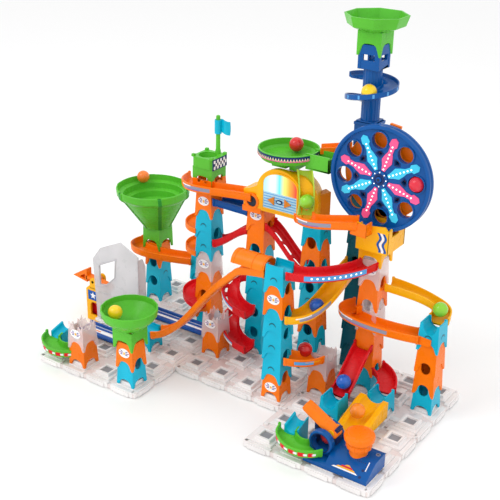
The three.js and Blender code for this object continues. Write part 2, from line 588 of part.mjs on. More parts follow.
function slopedBase() {
  const side = [
    [BASE.front, BASE.foot], [BASE.back, BASE.foot], [BASE.back, BASE.top], [atY(-1.83), BASE.top],
    [BASE.front, BASE.foot + 4],
  ];
  const geometry = plate(side, BASE.right - BASE.left);
  geometry.applyMatrix4(new THREE.Matrix4().makeBasis(
    new THREE.Vector3(0, 1, 0), new THREE.Vector3(0, 0, 1), new THREE.Vector3(1, 0, 0),
  ));
  geometry.translate(BASE.left, 0, 0);
  return solid(geometry);
}
const wedge = slopedBase();
const lowLeft = box(BASE.left - 1, BASE.front - 1, 14, BASE.left + 22, BASE.front + 13, BASE.top + 1);
const barrelAt = (j) => new THREE.Vector3(barrelX, atY(j), barrelZ);
const barrelBore = BARREL - 3.4;
const shank = box(barrelX - 9, atY(-2.0), BASE.foot, barrelX + 9, atY(-1.3), barrelZ);
const leverSlot = box(barrelX - BARREL - 1, atY(-1.85), barrelZ - 2,
  barrelX + BARREL + 1, atY(-1.4), barrelZ + BARREL + 1);
const barrel = cut(join([shank, rod(barrelAt(-2.05), barrelAt(-1.3), BARREL, BARREL, 14)]), [
  rod(barrelAt(-2.6), barrelAt(-1), barrelBore, barrelBore, 14), leverSlot,
]);
const buttonWell = upright(BUTTON.x, BUTTON.y, BASE.foot + 2, BASE.top + 1, BUTTON.stem + 0.6);
const wedgeBore = rod(barrelAt(-2.6), barrelAt(-1), barrelBore, barrelBore, 14);
piece('launcher_base', join([cut(wedge, [lowLeft, wedgeBore, buttonWell]), barrel]), COLOUR.blue);

piece('launch_button', turned(BUTTON.x, BUTTON.y, [
  [0, BASE.foot + 9], [BUTTON.stem, BASE.foot + 9], [BUTTON.stem, BUTTON.foot], [BUTTON.skirt, BUTTON.foot],
  [BUTTON.skirt, BUTTON.foot + 7], [BUTTON.radius, BUTTON.foot + 9], [BUTTON.radius, BUTTON.top - 4],
  [BUTTON.radius - 3, BUTTON.top - 1.5], [BUTTON.radius - 8, BUTTON.top], [0, BUTTON.top],
], 18), COLOUR.orange);

const LEVER = {
  pivotX: atX(6.94), y: atY(-1.625), z: 37, length: 38, tail: 7, width: 15.2, thick: 8, tilt: 30,
};
const leverArm = new THREE.BoxGeometry(LEVER.length + LEVER.tail, LEVER.width, LEVER.thick);
leverArm.translate((LEVER.tail - LEVER.length) / 2, 0, 0);
leverArm.rotateY(THREE.MathUtils.degToRad(LEVER.tilt));
leverArm.translate(LEVER.pivotX, LEVER.y, LEVER.z);
piece('launch_lever', solid(leverArm), COLOUR.orange);

function scoop() {
  const [x0, x1] = [atX(6.52), atX(7.44)];
  const [y0, y1] = [atY(-1.12), atY(0.62)];
  const side = [[y0, 14], [y1, 14], [y1, 33], [y1 - 8, 33], [y0 + 14, 21], [y0, 20]];
  const geometry = plate(side.map(([y, z]) => [y, z]), x1 - x0);
  geometry.applyMatrix4(new THREE.Matrix4().makeBasis(
    new THREE.Vector3(0, 1, 0), new THREE.Vector3(0, 0, 1), new THREE.Vector3(1, 0, 0),
  ));
  geometry.translate(x0, 0, 0);
  const block = solid(geometry);
  const valleyTop = new THREE.Vector3(atX(7), y1 + 3, 38);
  const valleyFoot = new THREE.Vector3(atX(6.85), y0 - 3, 23);
  const valley = rod(valleyTop, valleyFoot, 10.5, 10.5, 14);
  const under = box(x0 - 1, y0 + 10, 0, x1 + 1, y1 - 4, 17);
  return cut(block, [valley, under]);
}
piece('scoop', scoop(), COLOUR.yellow);

// Left end: a clear catching screen, and the launcher with its tipping lever behind it

function screen() {
  const outline = [[-3.58, 0.1], [-3.66, 2.3], [-3.3, 2.78], [-2.42, 3.2], [-1.66, 2.86], [-1.66, 0.1]];
  const window = [[-3.36, 1.42], [-3.1, 1.48], [-2.72, 1.84], [-2.66, 2.48], [-3.36, 2.12]];
  const toPlace = ([i, rise]) => [atX(i), rise * PITCH + DECK];
  const sheet = (points, depth, y) => {
    const geometry = plate(points.map(toPlace), depth);
    geometry.rotateX(Math.PI / 2);
    geometry.translate(0, y + depth, 0);
    return solid(geometry);
  };
  const y = atY(0.35);
  const foot = box(atX(-3.58), y - 4, DECK + GAP, atX(-1.66), y + 4, DECK + 4);
  const wing = box(atX(-1.66) - 2, y, DECK + GAP, atX(-1.66), y + 14, atZ(3.75));
  return cut(join([sheet(outline, 2, y), wing, foot]), [sheet(window, 8, y - 3)]);
}
piece('catch_screen', screen(), COLOUR.grey, 0.3);

const STAND = { left: atX(-4.2), right: atX(-3.56), front: atY(0.5), back: atY(1.05), top: 46, pivot: 54 };
const TIPPER_WIDTH = 9;
const standX = (STAND.left + STAND.right) / 2;
const standY = (STAND.front + STAND.back) / 2;
const standBlock = box(STAND.left, STAND.front, 0, STAND.right, STAND.back, STAND.top);
const cheeks = [
  box(standX - 5, STAND.front, STAND.top - 1, standX + 5, STAND.front + 3, STAND.pivot + 5),
  box(standX - 5, STAND.back - 3, STAND.top - 1, standX + 5, STAND.back, STAND.pivot + 5),
  rod(
    new THREE.Vector3(standX, STAND.front + 1, STAND.pivot),
    new THREE.Vector3(standX, STAND.back - 1, STAND.pivot), 2,
  ),
];
const mouth = box(STAND.left + 6, STAND.front - 1, 8, STAND.right - 3, STAND.back - 3, 26);
piece('tipper_stand', join([cut(standBlock, [mouth]), ...cheeks]), COLOUR.yellow);

function tipperPlate(outline) {
  const geometry = plate(outline, TIPPER_WIDTH);
  geometry.rotateX(Math.PI / 2);
  geometry.translate(standX, standY + TIPPER_WIDTH / 2, STAND.pivot);
  return solid(geometry);
}
const pivotLine = (y) => new THREE.Vector3(standX, y, STAND.pivot);
const tipperEnd = tipperPlate([[-38, -2], [-14, -6], [-14, 12]]);
const tipperArm = tipperPlate([[-16, -3], [24, -7], [24, -2], [-16, 3]]);
const tipperHub = rod(pivotLine(standY - TIPPER_WIDTH / 2), pivotLine(standY + TIPPER_WIDTH / 2), 4.4);
const tipperBore = rod(pivotLine(STAND.front), pivotLine(STAND.back), 2.4);
piece('tipper_lever', cut(join([tipperEnd, tipperArm, tipperHub]), [tipperBore]), COLOUR.orange);

// Marbles that lie loose on the run

function marble(name, x, y, z, colour) {
  const geometry = new THREE.SphereGeometry(MARBLE / 2, 12, 8);
  geometry.translate(x, y, z);
  piece(name, solid(geometry), colour, 0.12);
}
marble('marble_dish', dishX - 0.7, dishY + 16, DISH.floor + MARBLE / 2 + 4, COLOUR.red);
marble('marble_small_funnel', atX(-0.33), atY(-2.26), 95, COLOUR.yellow);

export default run;
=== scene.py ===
"""Looks of the marble run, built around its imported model.

Shapes are worked out in millimetres on the CAD model's own grid and turned into metres as each
piece is made. Place (i, j) is i pitches to the right and j pitches back, and a height is counted
in blocks (levels) above the deck of the base.
"""

import math

import bmesh
import bpy
from mathutils import Matrix, Vector
from mathutils.geometry import tessellate_polygon


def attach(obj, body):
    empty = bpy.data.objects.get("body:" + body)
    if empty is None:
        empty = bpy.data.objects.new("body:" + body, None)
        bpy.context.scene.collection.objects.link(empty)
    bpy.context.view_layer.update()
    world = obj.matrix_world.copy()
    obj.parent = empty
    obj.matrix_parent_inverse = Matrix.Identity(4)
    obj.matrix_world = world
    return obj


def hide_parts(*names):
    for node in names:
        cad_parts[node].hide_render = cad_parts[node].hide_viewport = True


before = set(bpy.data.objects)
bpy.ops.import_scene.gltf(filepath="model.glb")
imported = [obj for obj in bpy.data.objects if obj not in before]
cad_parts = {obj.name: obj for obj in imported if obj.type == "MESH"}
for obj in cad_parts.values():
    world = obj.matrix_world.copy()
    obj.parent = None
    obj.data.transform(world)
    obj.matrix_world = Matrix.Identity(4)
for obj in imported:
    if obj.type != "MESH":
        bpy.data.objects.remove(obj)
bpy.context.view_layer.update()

# Driving dimensions, in millimetres
MM = 0.001
PITCH = 36
LEVEL = 26.4
DECK = 8
STUD_HEIGHT = 3.5
HALF = 11.7                    # half the width of a tower
MARBLE = 8                     # radius
ORIGIN_I, ORIGIN_J = 2.5, 1    # the place that stands at x = y = 0
UP = Vector((0, 0, 1))


def at_x(i):
    return (i - ORIGIN_I) * PITCH


def at_y(j):
    return (j - ORIGIN_J) * PITCH


def at_z(level):
    return DECK + level * LEVEL


def spot(i, j, level=0.0):
    return Vector((at_x(i), at_y(j), at_z(level)))


# --- materials

def nodes_of(name):
    material = bpy.data.materials.new(name)
    material.use_nodes = True
    tree = material.node_tree
    return material, tree, tree.nodes["Principled BSDF"]


def node(tree, kind, links=(), **values):
    """A shader node with some inputs set, and others linked to the sockets in links."""
    made = tree.nodes.new("ShaderNode" + kind)
    for name, value in values.items():
        made.inputs[name.replace("_", " ")].default_value = value
    for name, socket in dict(links).items():
        tree.links.new(socket, made.inputs[name])
    return made


def speckle(tree, scale, low, high):
    """A value between low and high that wanders over the surface."""
    coords = node(tree, "TexCoord")
    noise = node(tree, "TexNoise", {"Vector": coords.outputs["Object"]}, Scale=scale, Detail=3)
    spread = node(tree, "MapRange", {"Value": noise.outputs["Fac"]}, From_Min=0.3, From_Max=0.7, To_Min=low,
                  To_Max=high)
    return spread.outputs["Result"]


def moulded(tree, shader, colour, rough):
    """Moulded plastic: faint flow marks in the colour, uneven gloss and a fine orange peel."""
    tint = tree.nodes.new("ShaderNodeMix")
    tint.data_type = "RGBA"
    tint.inputs["A"].default_value = (*[c * 0.88 for c in colour], 1)
    tint.inputs["B"].default_value = (*[min(1, c * 1.08 + 0.004) for c in colour], 1)
    bump = node(tree, "Bump", {"Height": speckle(tree, 700, 0, 1)}, Strength=0.06, Distance=0.0002)
    for source, target in ((speckle(tree, 26, 0, 1), tint.inputs["Factor"]),
                           (tint.outputs["Result"], shader.inputs["Base Color"]),
                           (speckle(tree, 90, rough * 0.8, rough * 1.25), shader.inputs["Roughness"]),
                           (bump.outputs["Normal"], shader.inputs["Normal"])):
        tree.links.new(source, target)


def plastic(name, colour, rough=0.28, glow=0.0):
    material, tree, shader = nodes_of(name)
    moulded(tree, shader, colour, rough)
    shader.inputs["IOR"].default_value = 1.3
    if glow:
        shader.inputs["Emission Color"].default_value = (*colour, 1)
        shader.inputs["Emission Strength"].default_value = glow
    return material


def clear_plastic(name, colour, alpha, rough=0.12):
    material, tree, shader = nodes_of(name)
    moulded(tree, shader, colour, rough)
    shader.inputs["Alpha"].default_value = alpha
    return material


ORANGE = plastic("orange_plastic", (0.98, 0.185, 0.0))
AMBER = plastic("amber_plastic", (0.96, 0.20, 0.002))
TEAL = plastic("teal_plastic", (0.0, 0.46, 0.66), 0.22)
# teal darkened with painted shade: the blocks of the tower that stands in shade, and the painted arch shadows
# where teal blocks meet
SHADED_TEAL = plastic("painted_shade_teal", (0.002, 0.13, 0.19))
GREEN = plastic("green_plastic", (0.10, 0.50, 0.03))
YELLOW = plastic("yellow_plastic", (0.98, 0.45, 0.002))
RED = plastic("red_plastic", (0.70, 0.006, 0.012))
BLUE = plastic("blue_plastic", (0.0, 0.085, 0.38), 0.2)
NAVY = plastic("navy_paint", (0.006, 0.024, 0.12), 0.35)
CLEAR = clear_plastic("clear_block", (0.90, 0.77, 0.76), 0.45)
BASE_CLEAR = clear_plastic("clear_base", (0.93, 0.89, 0.88), 0.92, 0.2)
BASE_FLOOR = clear_plastic("clear_base_floor", (0.88, 0.78, 0.76), 0.92, 0.25)
SMOKE = clear_plastic("smoke_screen", (0.66, 0.64, 0.66), 0.66, 0.3)
# near black painted shade, set into openings where only the shade inside is seen
HOLLOW_SHADE = plastic("painted_hollow_shade", (0.02, 0.03, 0.05), 0.5)
# grey painted shade at the bottom of the hollow studs
POCKET_SHADE = plastic("painted_pocket_shade", (0.27, 0.27, 0.29), 0.4)
WHITE = plastic("white_print", (0.88, 0.88, 0.90), 0.35)
INK = plastic("blue_print", (0.03, 0.05, 0.25), 0.35)
PURPLE = plastic("purple_print", (0.30, 0.12, 0.42), 0.35)
SKY = plastic("sky_print", (0.10, 0.36, 0.72), 0.35)
SILVER = plastic("grey_print", (0.28, 0.29, 0.38), 0.3)
PINK = plastic("pink_print", (0.80, 0.08, 0.30), 0.35)
STEEL = plastic("screw_steel", (0.30, 0.31, 0.34), 0.25)
LAMP = plastic("track_lamps", (1, 0.98, 0.92), 0.2, 0.8)
LANE_BLUE = plastic("lane_blue", (0.01, 0.08, 0.34))
# dark green painted shade that stands for the recessed groove along each funnel rib
GROOVE_SHADE_GREEN = plastic("painted_groove_shade", (0.02, 0.28, 0.03))
GLOW_GREEN = plastic("dome_glow", (0.45, 0.62, 0.05), 0.15, 0.12)
BROWN = plastic("amber_box", (0.72, 0.22, 0.01))
PALE_BLUE = plastic("pale_blue_print", (0.42, 0.66, 0.80), 0.3)
CREAM = plastic("cream_print", (0.90, 0.72, 0.45), 0.35)
GLOW = plastic("light_dots", (1, 0.97, 0.88), 0.2, 0.9)
CYAN = plastic("cyan_print", (0.05, 0.55, 0.80), 0.25, 0.1)
ROSE = plastic("rose_print", (0.90, 0.10, 0.28), 0.25, 0.1)
WHEEL_BLUE = plastic("wheel_blue_plastic", (0.0, 0.085, 0.33), 0.16)


# --- mesh helpers

SHARP = 34                     # degrees between faces from which their edge is sharp


class Shape:
    """Vertices in millimetres, and faces with the number of the material each one has."""

    def __init__(self):
        self.verts, self.faces, self.slots = [], [], []

    def add(self, verts, faces, slot=0, place=None):
        base = len(self.verts)
        self.verts += [place(Vector(v)) if place else Vector(v) for v in verts]
        self.faces += [[base + k for k in face] for face in faces]
        self.slots += [slot] * len(faces)


def placed(name, data):
    """A new object in the scene."""
    thing = bpy.data.objects.new(name, data)
    bpy.context.scene.collection.objects.link(thing)
    return thing


def solid_mesh(name, shape, materials=(), weld=0):
    """The mesh of a shape in metres, with its faces turned outwards."""
    mesh = bpy.data.meshes.new(name)
    mesh.from_pydata([v * MM for v in shape.verts], [], shape.faces)
    for material in materials:
        mesh.materials.append(material)
    mesh.polygons.foreach_set("material_index", shape.slots)
    work = bmesh.new()
    work.from_mesh(mesh)
    if weld:
        bmesh.ops.remove_doubles(work, verts=work.verts, dist=weld)
    bmesh.ops.recalc_face_normals(work, faces=work.faces)
    work.to_mesh(mesh)
    work.free()
    return mesh


def make(name, shape, materials, body="frame", replaces=(), bevel=0.35, smooth=SHARP):
    """Turns a shape into a piece of the object that rides on a body."""
    mesh = solid_mesh(name, shape, materials, 2e-6)
    mesh.shade_smooth()
    mesh.set_sharp_from_angle(angle=math.radians(smooth))
    piece = placed(name, mesh)
    if bevel:
        edge = piece.modifiers.new("edge", "BEVEL")
        edge.width = bevel * MM
        edge.segments = 2
        edge.limit_method = "ANGLE"
        edge.angle_limit = math.radians(smooth)
        edge.harden_normals = True
    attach(piece, body)
    if replaces:
        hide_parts(*replaces)
    return piece


def mould(name, shape, materials, **rest):
    """The visible piece that stands for one part of the CAD model."""
    return make(name + "_moulding", shape, materials, replaces=[name], **rest)


def arc(cu, cv, radius, start, end, steps):
    """Points on a circle from one angle to another, in degrees."""
    points = []
    for n in range(steps + 1):
        a = math.radians(start + (end - start) * n / steps)
        points.append((cu + radius * math.cos(a), cv + radius * math.sin(a)))
    return points


def circle(cu, cv, radius, steps=20):
    return arc(cu, cv, radius, 0, 360 - 360 / steps, steps - 1)


def oval(cu, cv, reach, rise, steps):
    return [(cu + reach * u, cv + rise * v) for u, v in circle(0, 0, 1, steps)]


def rect(u0, v0, u1, v1):
    return [(u0, v0), (u1, v0), (u1, v1), (u0, v1)]


def filled(*loops):
    """Triangles that fill an outline, less its holes."""
    flat = [[Vector((u, v, 0)) for u, v in loop] for loop in loops]
    return [list(t) for t in tessellate_polygon(flat)]


def between(rings, n):
    """Faces that join rings of n points each."""
    return [[r * n + k, r * n + (k + 1) % n, (r + 1) * n + (k + 1) % n, (r + 1) * n + k]
            for r in range(rings - 1) for k in range(n)]


def closed_ends(count, n):
    """One face on the first n of the points and one on the last n."""
    return [list(range(n)), list(range(count - 1, count - n - 1, -1))]


def panel(shape, outline, depth, place, holes=(), slot=0, skip=lambda a, b: False):
    """A flat plate with holes. Its outline is in (u, v), and it is depth thick towards +w."""
    loops = [list(outline)] + [list(h) for h in holes]
    flat = [p for loop in loops for p in loop]
    caps = filled(*loops)
    n = len(flat)
    verts = [(u, v, 0) for u, v in flat] + [(u, v, depth) for u, v in flat]
    faces = caps + [[k + n for k in reversed(t)] for t in caps]
    start = 0
    for loop in loops:
        for k in range(len(loop)):
            a, b = start + k, start + (k + 1) % len(loop)
            if not skip(flat[a], flat[b]):
                faces.append([a, b, b + n, a + n])
        start += len(loop)
    shape.add(verts, faces, slot, place)


def facing(origin, right, out):
    """Places (u, v, w): u to the right, v up, and w into the object, away from out."""
    right, out = Vector(right).normalized(), Vector(out).normalized()
    up = out.cross(right)
    return lambda p: Vector(origin) + right * p.x + up * p.y - out * p.z


def front_at(x, y, z):
    return facing((x, y, z), (1, 0, 0), (0, -1, 0))


def right_at(x, y, z):
    return facing((x, y, z), (0, 1, 0), (1, 0, 0))


def top_at(x, y, z):
    return facing((x, y, z), (1, 0, 0), (0, 0, 1))


def compass(degrees):
    """The level direction at an angle, and the one to its left."""
    a = math.radians(degrees)
    out = Vector((math.cos(a), math.sin(a), 0))
    return out, Vector((-out.y, out.x, 0))


def lathe(shape, profile, centre, sides=32, slot=0, axis="z", turn=0.0, stretch=None):
    """Turns (radius, height) pairs about an axis through the centre."""
    rings, verts, faces = [], [], []
    for radius, height in profile:
        ring = []
        count = 1 if radius < 1e-6 else sides
        for s in range(count):
            a = turn + 2 * math.pi * s / sides
            p = Vector((radius * math.cos(a), radius * math.sin(a), height))
            if axis == "y":
                p = Vector((p.x, p.z, -p.y))
            elif axis == "x":
                p = Vector((p.z, p.x, p.y))
            ring.append(len(verts))
            verts.append(p + Vector(centre))
        rings.append(ring)
    for low, high in zip(rings, rings[1:]):
        for s in range(sides):
            corners = [low[s % len(low)], low[(s + 1) % len(low)],
                       high[(s + 1) % len(high)], high[s % len(high)]]
            face = [c for k, c in enumerate(corners) if c not in corners[:k]]
            if len(face) > 2:
                faces.append(face)
    shape.add(verts, faces, slot, stretch)


def hoop(r0, z0, r1, z1):
    """The profile of a plain ring."""
    return rect(r0, z0, r1, z1) + [(r0, z0)]


def brick(shape, low, high, slot=0):
    (x0, y0, z0), (x1, y1, z1) = low, high
    verts = [(x, y, z) for z in (z0, z1) for x, y in ((x0, y0), (x1, y0), (x1, y1), (x0, y1))]
    faces = [(3, 2, 1, 0), (4, 5, 6, 7), (0, 1, 5, 4), (1, 2, 6, 5), (2, 3, 7, 6), (3, 0, 4, 7)]
    shape.add(verts, faces, slot)


SLAB = [(0, 1, 2, 3), (7, 6, 5, 4), (0, 4, 5, 1), (1, 5, 6, 2), (2, 6, 7, 3), (3, 7, 4, 0)]


def sweep(shape, section, stations, slot=0):
    """Carries a closed section along stations of (origin, side, up)."""
    n = len(section)
    verts = [o + s * u + t * v for o, s, t in stations for u, v in section]
    last = (len(stations) - 1) * n
    tris = filled(section)
    faces = between(len(stations), n) + tris + [[last + k for k in reversed(t)] for t in tris]
    shape.add(verts, faces, slot)


def tube(shape, points, radius, sides):
    stations = []
    for k, p in enumerate(points):
        ahead = (points[min(k + 1, len(points) - 1)] - points[max(k - 1, 0)]).normalized()
        guide = UP if abs(ahead.z) < 0.9 else Vector((1, 0, 0))
        side = ahead.cross(guide).normalized()
        stations.append((p, side, side.cross(ahead)))
    sweep(shape, circle(0, 0, radius, sides), stations)


# --- base plates

DECK_LOW = 5.4                 # top of the plate's floor between the plinths
STUD, STUD_HOLE, PLINTH = 18.4, 12, 26


def stud(shape, x, y, raised):
    """A square plinth with sloping sides, and a hollow stud on it whose floor is a grey sheet of painted
    shade.
    """
    top = DECK + STUD_HEIGHT if raised else DECK
    outline = [(PLINTH, DECK_LOW - 0.5), (PLINTH - 1.2, DECK - 0.2)]
    outline += ([(STUD + 0.4, DECK + 0.2), (STUD - 0.6, top - 0.2), (STUD - 1.2, top)] if raised
                else [(STUD, DECK)])
    outline += [(STUD_HOLE, top), (STUD_HOLE - 0.4, top - 2.6)]
    rings = [(width / 2, z) for width, z in outline]
    corners = ((-1, -1), (1, -1), (1, 1), (-1, 1))
    verts = [(x + h * u, y + h * v, z) for h, z in rings for u, v in corners]
    shape.add(verts, between(len(rings), 4))
    n = STUD_HOLE / 2
    # grey painted shade at the bottom of the stud's hollow
    shape.add([(x + n * u, y + n * v, top - 2.2) for u, v in corners], [[0, 1, 2, 3]], 2)


def base_plate(name, i0, j0, columns, rows, bare=()):
    shape = Shape()
    x0, y0 = at_x(i0 - 0.5) + 0.2, at_y(j0 - 0.5) + 0.2
    x1, y1 = x0 + columns * PITCH - 0.4, y0 + rows * PITCH - 0.4
    brick(shape, (x0 + 1, y0 + 1, 0), (x1 - 1, y1 - 1, DECK_LOW), 1)
    for i in range(i0, i0 + columns):
        for j in range(j0, j0 + rows):
            stud(shape, at_x(i), at_y(j), (i, j) not in bare)
            for dx, dy in ((1, 0), (0, 1)):
                cx, cy = at_x(i) + dx * PITCH / 2, at_y(j) + dy * PITCH / 2
                if cx < x1 - 4 and cy < y1 - 4:
                    hx, hy = (5.4, 4) if dx else (4, 5.4)
                    brick(shape, (cx - hx, cy - hy, DECK_LOW - 1), (cx + hx, cy + hy, DECK - 1.4))
    for start, sides, count, turned in ((x0, (y0, y1), columns, 1), (y0, (x0, x1), rows, -1)):
        for n in range(count):
            for edge, out in zip(sides, (1, -1)):
                for first, last, inward, top in ((1.2, 3.2, 5, DECK - 1), (6, 8, -1.2, DECK - 2.6)):
                    near, far = sorted((edge, edge + out * inward))
                    low = (start + n * PITCH + first, near)[::turned]
                    high = (start + n * PITCH + PITCH - last, far)[::turned]
                    brick(shape, (*low, 0.4), (*high, top))
    mould(name, shape, [BASE_CLEAR, BASE_FLOOR, POCKET_SHADE], bevel=0.5)


base_plate("base_plate_left_front", -3, -2, 4, 3)
base_plate("base_plate_left_back", -3, 1, 4, 4)
base_plate("base_plate_middle", 1, 0, 4, 4)
base_plate("base_plate_right_front", 5, -2, 4, 3, {(6, -2), (7, -2), (8, -2), (7, -1), (6, -1), (7, 0)})
base_plate("base_plate_right_back", 5, 1, 4, 3)


# --- tower blocks

FACES = {
    "front": (Vector((1, 0, 0)), Vector((0, -1, 0))),
    "back": (Vector((-1, 0, 0)), Vector((0, 1, 0))),
    "left": (Vector((0, -1, 0)), Vector((-1, 0, 0))),
    "right": (Vector((0, 1, 0)), Vector((1, 0, 0))),
}
SPREAD = 12.1                  # half width of a block at the tips of its legs
TAPER = 0.05                   # how much each side leans in per millimetre of height
SKIN = 1.2
LEG = 5.2
TUCK = 4.4                     # how far a block reaches up inside the next one
PORT = 7.0
# o orange, t teal, c clear, d teal darkened with painted shade
BLOCK_SLOTS = {"o": 0, "t": 1, "c": 2, "d": 3}
BLOCK_MATERIALS = [ORANGE, TEAL, CLEAR, SHADED_TEAL, WHITE, INK, PURPLE, YELLOW]


def wall_place(centre, z, face, lift=0.0):
    right, out = FACES[face]

    def place(p):
        half = SPREAD - TAPER * (p.y + LEG) - p.z
        return (Vector((centre[0], centre[1], z + p.y)) + right * (p.x * half / SPREAD)
                + out * (half + lift))
    return place


def mirrored(points):
    return points + [(-u, v) for u, v in reversed(points) if u < -1e-6]


def lower_edge(first, port):
    if first:
        return mirrored([(-SPREAD, 0.1), (-9.4, 0.1), (-8.4, 3.4), (-6.2, 6.2), (-3.2, 7.6), (0, 8)])
    if port:
        return ([(-SPREAD, -LEG), (-10.4, -LEG - 0.3), (-8.8, -3)] + arc(0, 0, PORT + 0.5, 180, 0, 10)
                + [(8.8, -3), (10.4, -LEG - 0.3), (SPREAD, -LEG)])
    return mirrored([(-SPREAD, -LEG), (-10.4, -LEG - 0.3), (-8.8, -2.4), (-7.4, 1.0), (-5.0, 3.3),
                     (-2.4, 4.2), (0, 4.4)])


def upper_edge(style, port):
    if style == "under":
        top = LEVEL + TUCK
        notch = arc(0, LEVEL, PORT - 0.5, 0, -180, 10) if port else []
        rim = [(PORT - 0.5, top)] + notch + [(0.5 - PORT, top)] if port else []
        return [(SPREAD, top)] + rim + [(-SPREAD, top)]
    if style == "channel":
        return ([(SPREAD, LEVEL), (9.4, LEVEL)] + arc(0, LEVEL - 2.8, 9.1, 0, -180, 12)
                + [(-9.4, LEVEL), (-SPREAD, LEVEL)])
    if style == "crown":
        return [(SPREAD, LEVEL + 1), (8.5, LEVEL - 5), (5, LEVEL - 1), (2.5, LEVEL - 7),
                (-2.5, LEVEL - 7), (-5, LEVEL - 1), (-8.5, LEVEL - 5), (-SPREAD, LEVEL + 1)]
    return [(SPREAD, LEVEL), (-SPREAD, LEVEL)]


def corner_at(half):
    """Tells the upright edges where two walls meet, which get no face of their own."""
    return lambda a, b: a[0] * b[0] > 0 and min(abs(a[0]), abs(b[0])) > half - 0.01


def star(cu, cv, radius):
    """A star with five points."""
    spikes = []
    for n in range(10):
        a = math.pi / 2 + math.pi * n / 5
        r = radius if n % 2 == 0 else radius * 0.45
        spikes.append((cu + r * math.cos(a), cv + r * math.sin(a)))
    return spikes


def sticker(shape, centre, z, face):
    """A white oval with slanted stripes and a star, as thin layers on a block's wall."""
    place = [wall_place(centre, z, face, 0.1 * (n + 1)) for n in range(3)]
    mid = 0.56 * LEVEL
    panel(shape, oval(0, mid, 8.3, 5.3, 24), 0.1, place[0], slot=4)
    for side in (-1, 1):
        for n, ink in enumerate((5, 6, 5)):
            rise = 2.6 - 2.2 * n
            reach = 7.6 - 0.9 * abs(rise - 0.4)
            stripe = [(side * 2.4, mid + rise * 0.7 - 0.9), (side * reach, mid + rise - 0.2),
                      (side * (reach - 0.3), mid + rise + 0.7), (side * 2.2, mid + rise * 0.7 + 0.1)]
            panel(shape, stripe, 0.1, place[1], slot=ink)
    panel(shape, star(0.3, mid - 0.2, 2.3), 0.1, place[2], slot=7)


def tower(name, i, j, blocks, ports=(), channel=None, crown=False):
    """A stack of blocks, one letter for each: its colour (d is teal darkened with painted shade), and a
    capital where it has a sticker.
    """
    shape = Shape()
    centre = (at_x(i), at_y(j))
    ports = {(level, face) for level, face in ports}
    count = len(blocks)
    for level, letter in enumerate(blocks):
        slot = BLOCK_SLOTS[letter.lower()]
        last = level == count - 1
        for face in FACES:
            style = "under"
            if last:
                along = {"x": ("left", "right"), "y": ("front", "back")}.get(channel, ())
                style = "channel" if face in along else "crown" if crown else "flat"
            outline = (lower_edge(level == 0, (level, face) in ports)
                       + upper_edge(style, (level + 1, face) in ports))
            place = wall_place(centre, at_z(level), face)
            panel(shape, outline, SKIN, place, slot=slot, skip=corner_at(SPREAD))
            if letter.isupper() and face in ("front", "left"):
                sticker(shape, centre, at_z(level), face)
            elif letter == "t" and level and (level, face) not in ports:
                # a dark teal crescent just above the arch at each joint of two teal blocks: a painted shadow
                # of that arch
                mark = arc(0, 9.2, 4.8, 160, 20, 12) + arc(0, 8.0, 4.4, 20, 160, 12)
                panel(shape, mark, 0.15, wall_place(centre, at_z(level), face, 0.15), slot=3)
    if channel:
        section = arc(0, -2.8, 9.1, 0, -180, 14) + arc(0, -2.8, 10.3, -180, 0, 14)
        ahead = Vector((1, 0, 0)) if channel == "x" else Vector((0, 1, 0))
        side = Vector((-ahead.y, ahead.x, 0))
        base = Vector((*centre, at_z(count)))
        ends = [(base + ahead * reach, side, UP) for reach in (-9.2, 9.2)]
        sweep(shape, section, ends, BLOCK_SLOTS[blocks[-1].lower()])
    make(name + "_blocks", shape, BLOCK_MATERIALS, replaces=[name], bevel=0.45)


tower("tower_front", 4, 0, "OtttOt", [(n, "right") for n in range(1, 6)], channel="x")
tower("tower_small_funnel", 0, -2, "tO", [(1, "right")])
tower("tower_left_low", -2, -2, "oC", [(1, "left")], crown=True)
tower("tower_low_middle", 1, 1, "oC", crown=True)
tower("tower_channel_left", -1, 0, "t", channel="x")
tower("tower_right", 8, 2, "toot", [(1, "front"), (2, "front")], channel="y")
tower("tower_channel_front", 6, 0, "t", channel="y")
tower("tower_channel_right", 7, 1, "t", channel="y")
tower("tower_low_right", 5, 1, "oc", channel="x", crown=True)
tower("tower_big_funnel", -3, 3, "tto", [(1, "front"), (2, "front")])
tower("tower_back_left", -1, 3, "ttt", channel="x")
tower("tower_flag", 0, 2, "tooCttO", [(2, "front"), (5, "right")])
tower("tower_dome_left", 2, 2, "tttttoO",
      [(n, "front") for n in (1, 2, 4, 5)] + [(2, "left"), (4, "left"), (6, "right")])
tower("tower_dome_right", 4, 2, "ttottot",
      [(n, "front") for n in (2, 4, 5, 6)] + [(5, "right"), (5, "left")])
tower("tower_wheel", 6, 2, "toocoC", [(4, "front"), (1, "right"), (4, "right"), (5, "right")])
# its blocks are teal darkened with painted shade, because this tower stands in shade
tower("tower_spiral", 5, 3, "dddddddddd", [(5, "front")])


# --- tracks

TRACK_HALF = 10.2              # half width of a track
TROUGH = [(-10.2, 8.5), (-10.6, 8.2), (-10.6, 7.2), (-10.2, 6.9), (-10.2, 1.6), (-9.2, -0.5),
          (-6.5, -1.6), (6.5, -1.6), (9.2, -0.5), (10.2, 1.6), (10.2, 6.9), (10.6, 7.2),
          (10.6, 8.2), (10.2, 8.5), (8.9, 8.5), (8.7, 8.2), (8.7, 3.4), (7.6, 1.3), (5, 0.3),
          (0, 0), (-5, 0.3), (-7.6, 1.3), (-8.7, 3.4), (-8.7, 8.2), (-8.9, 8.5)]


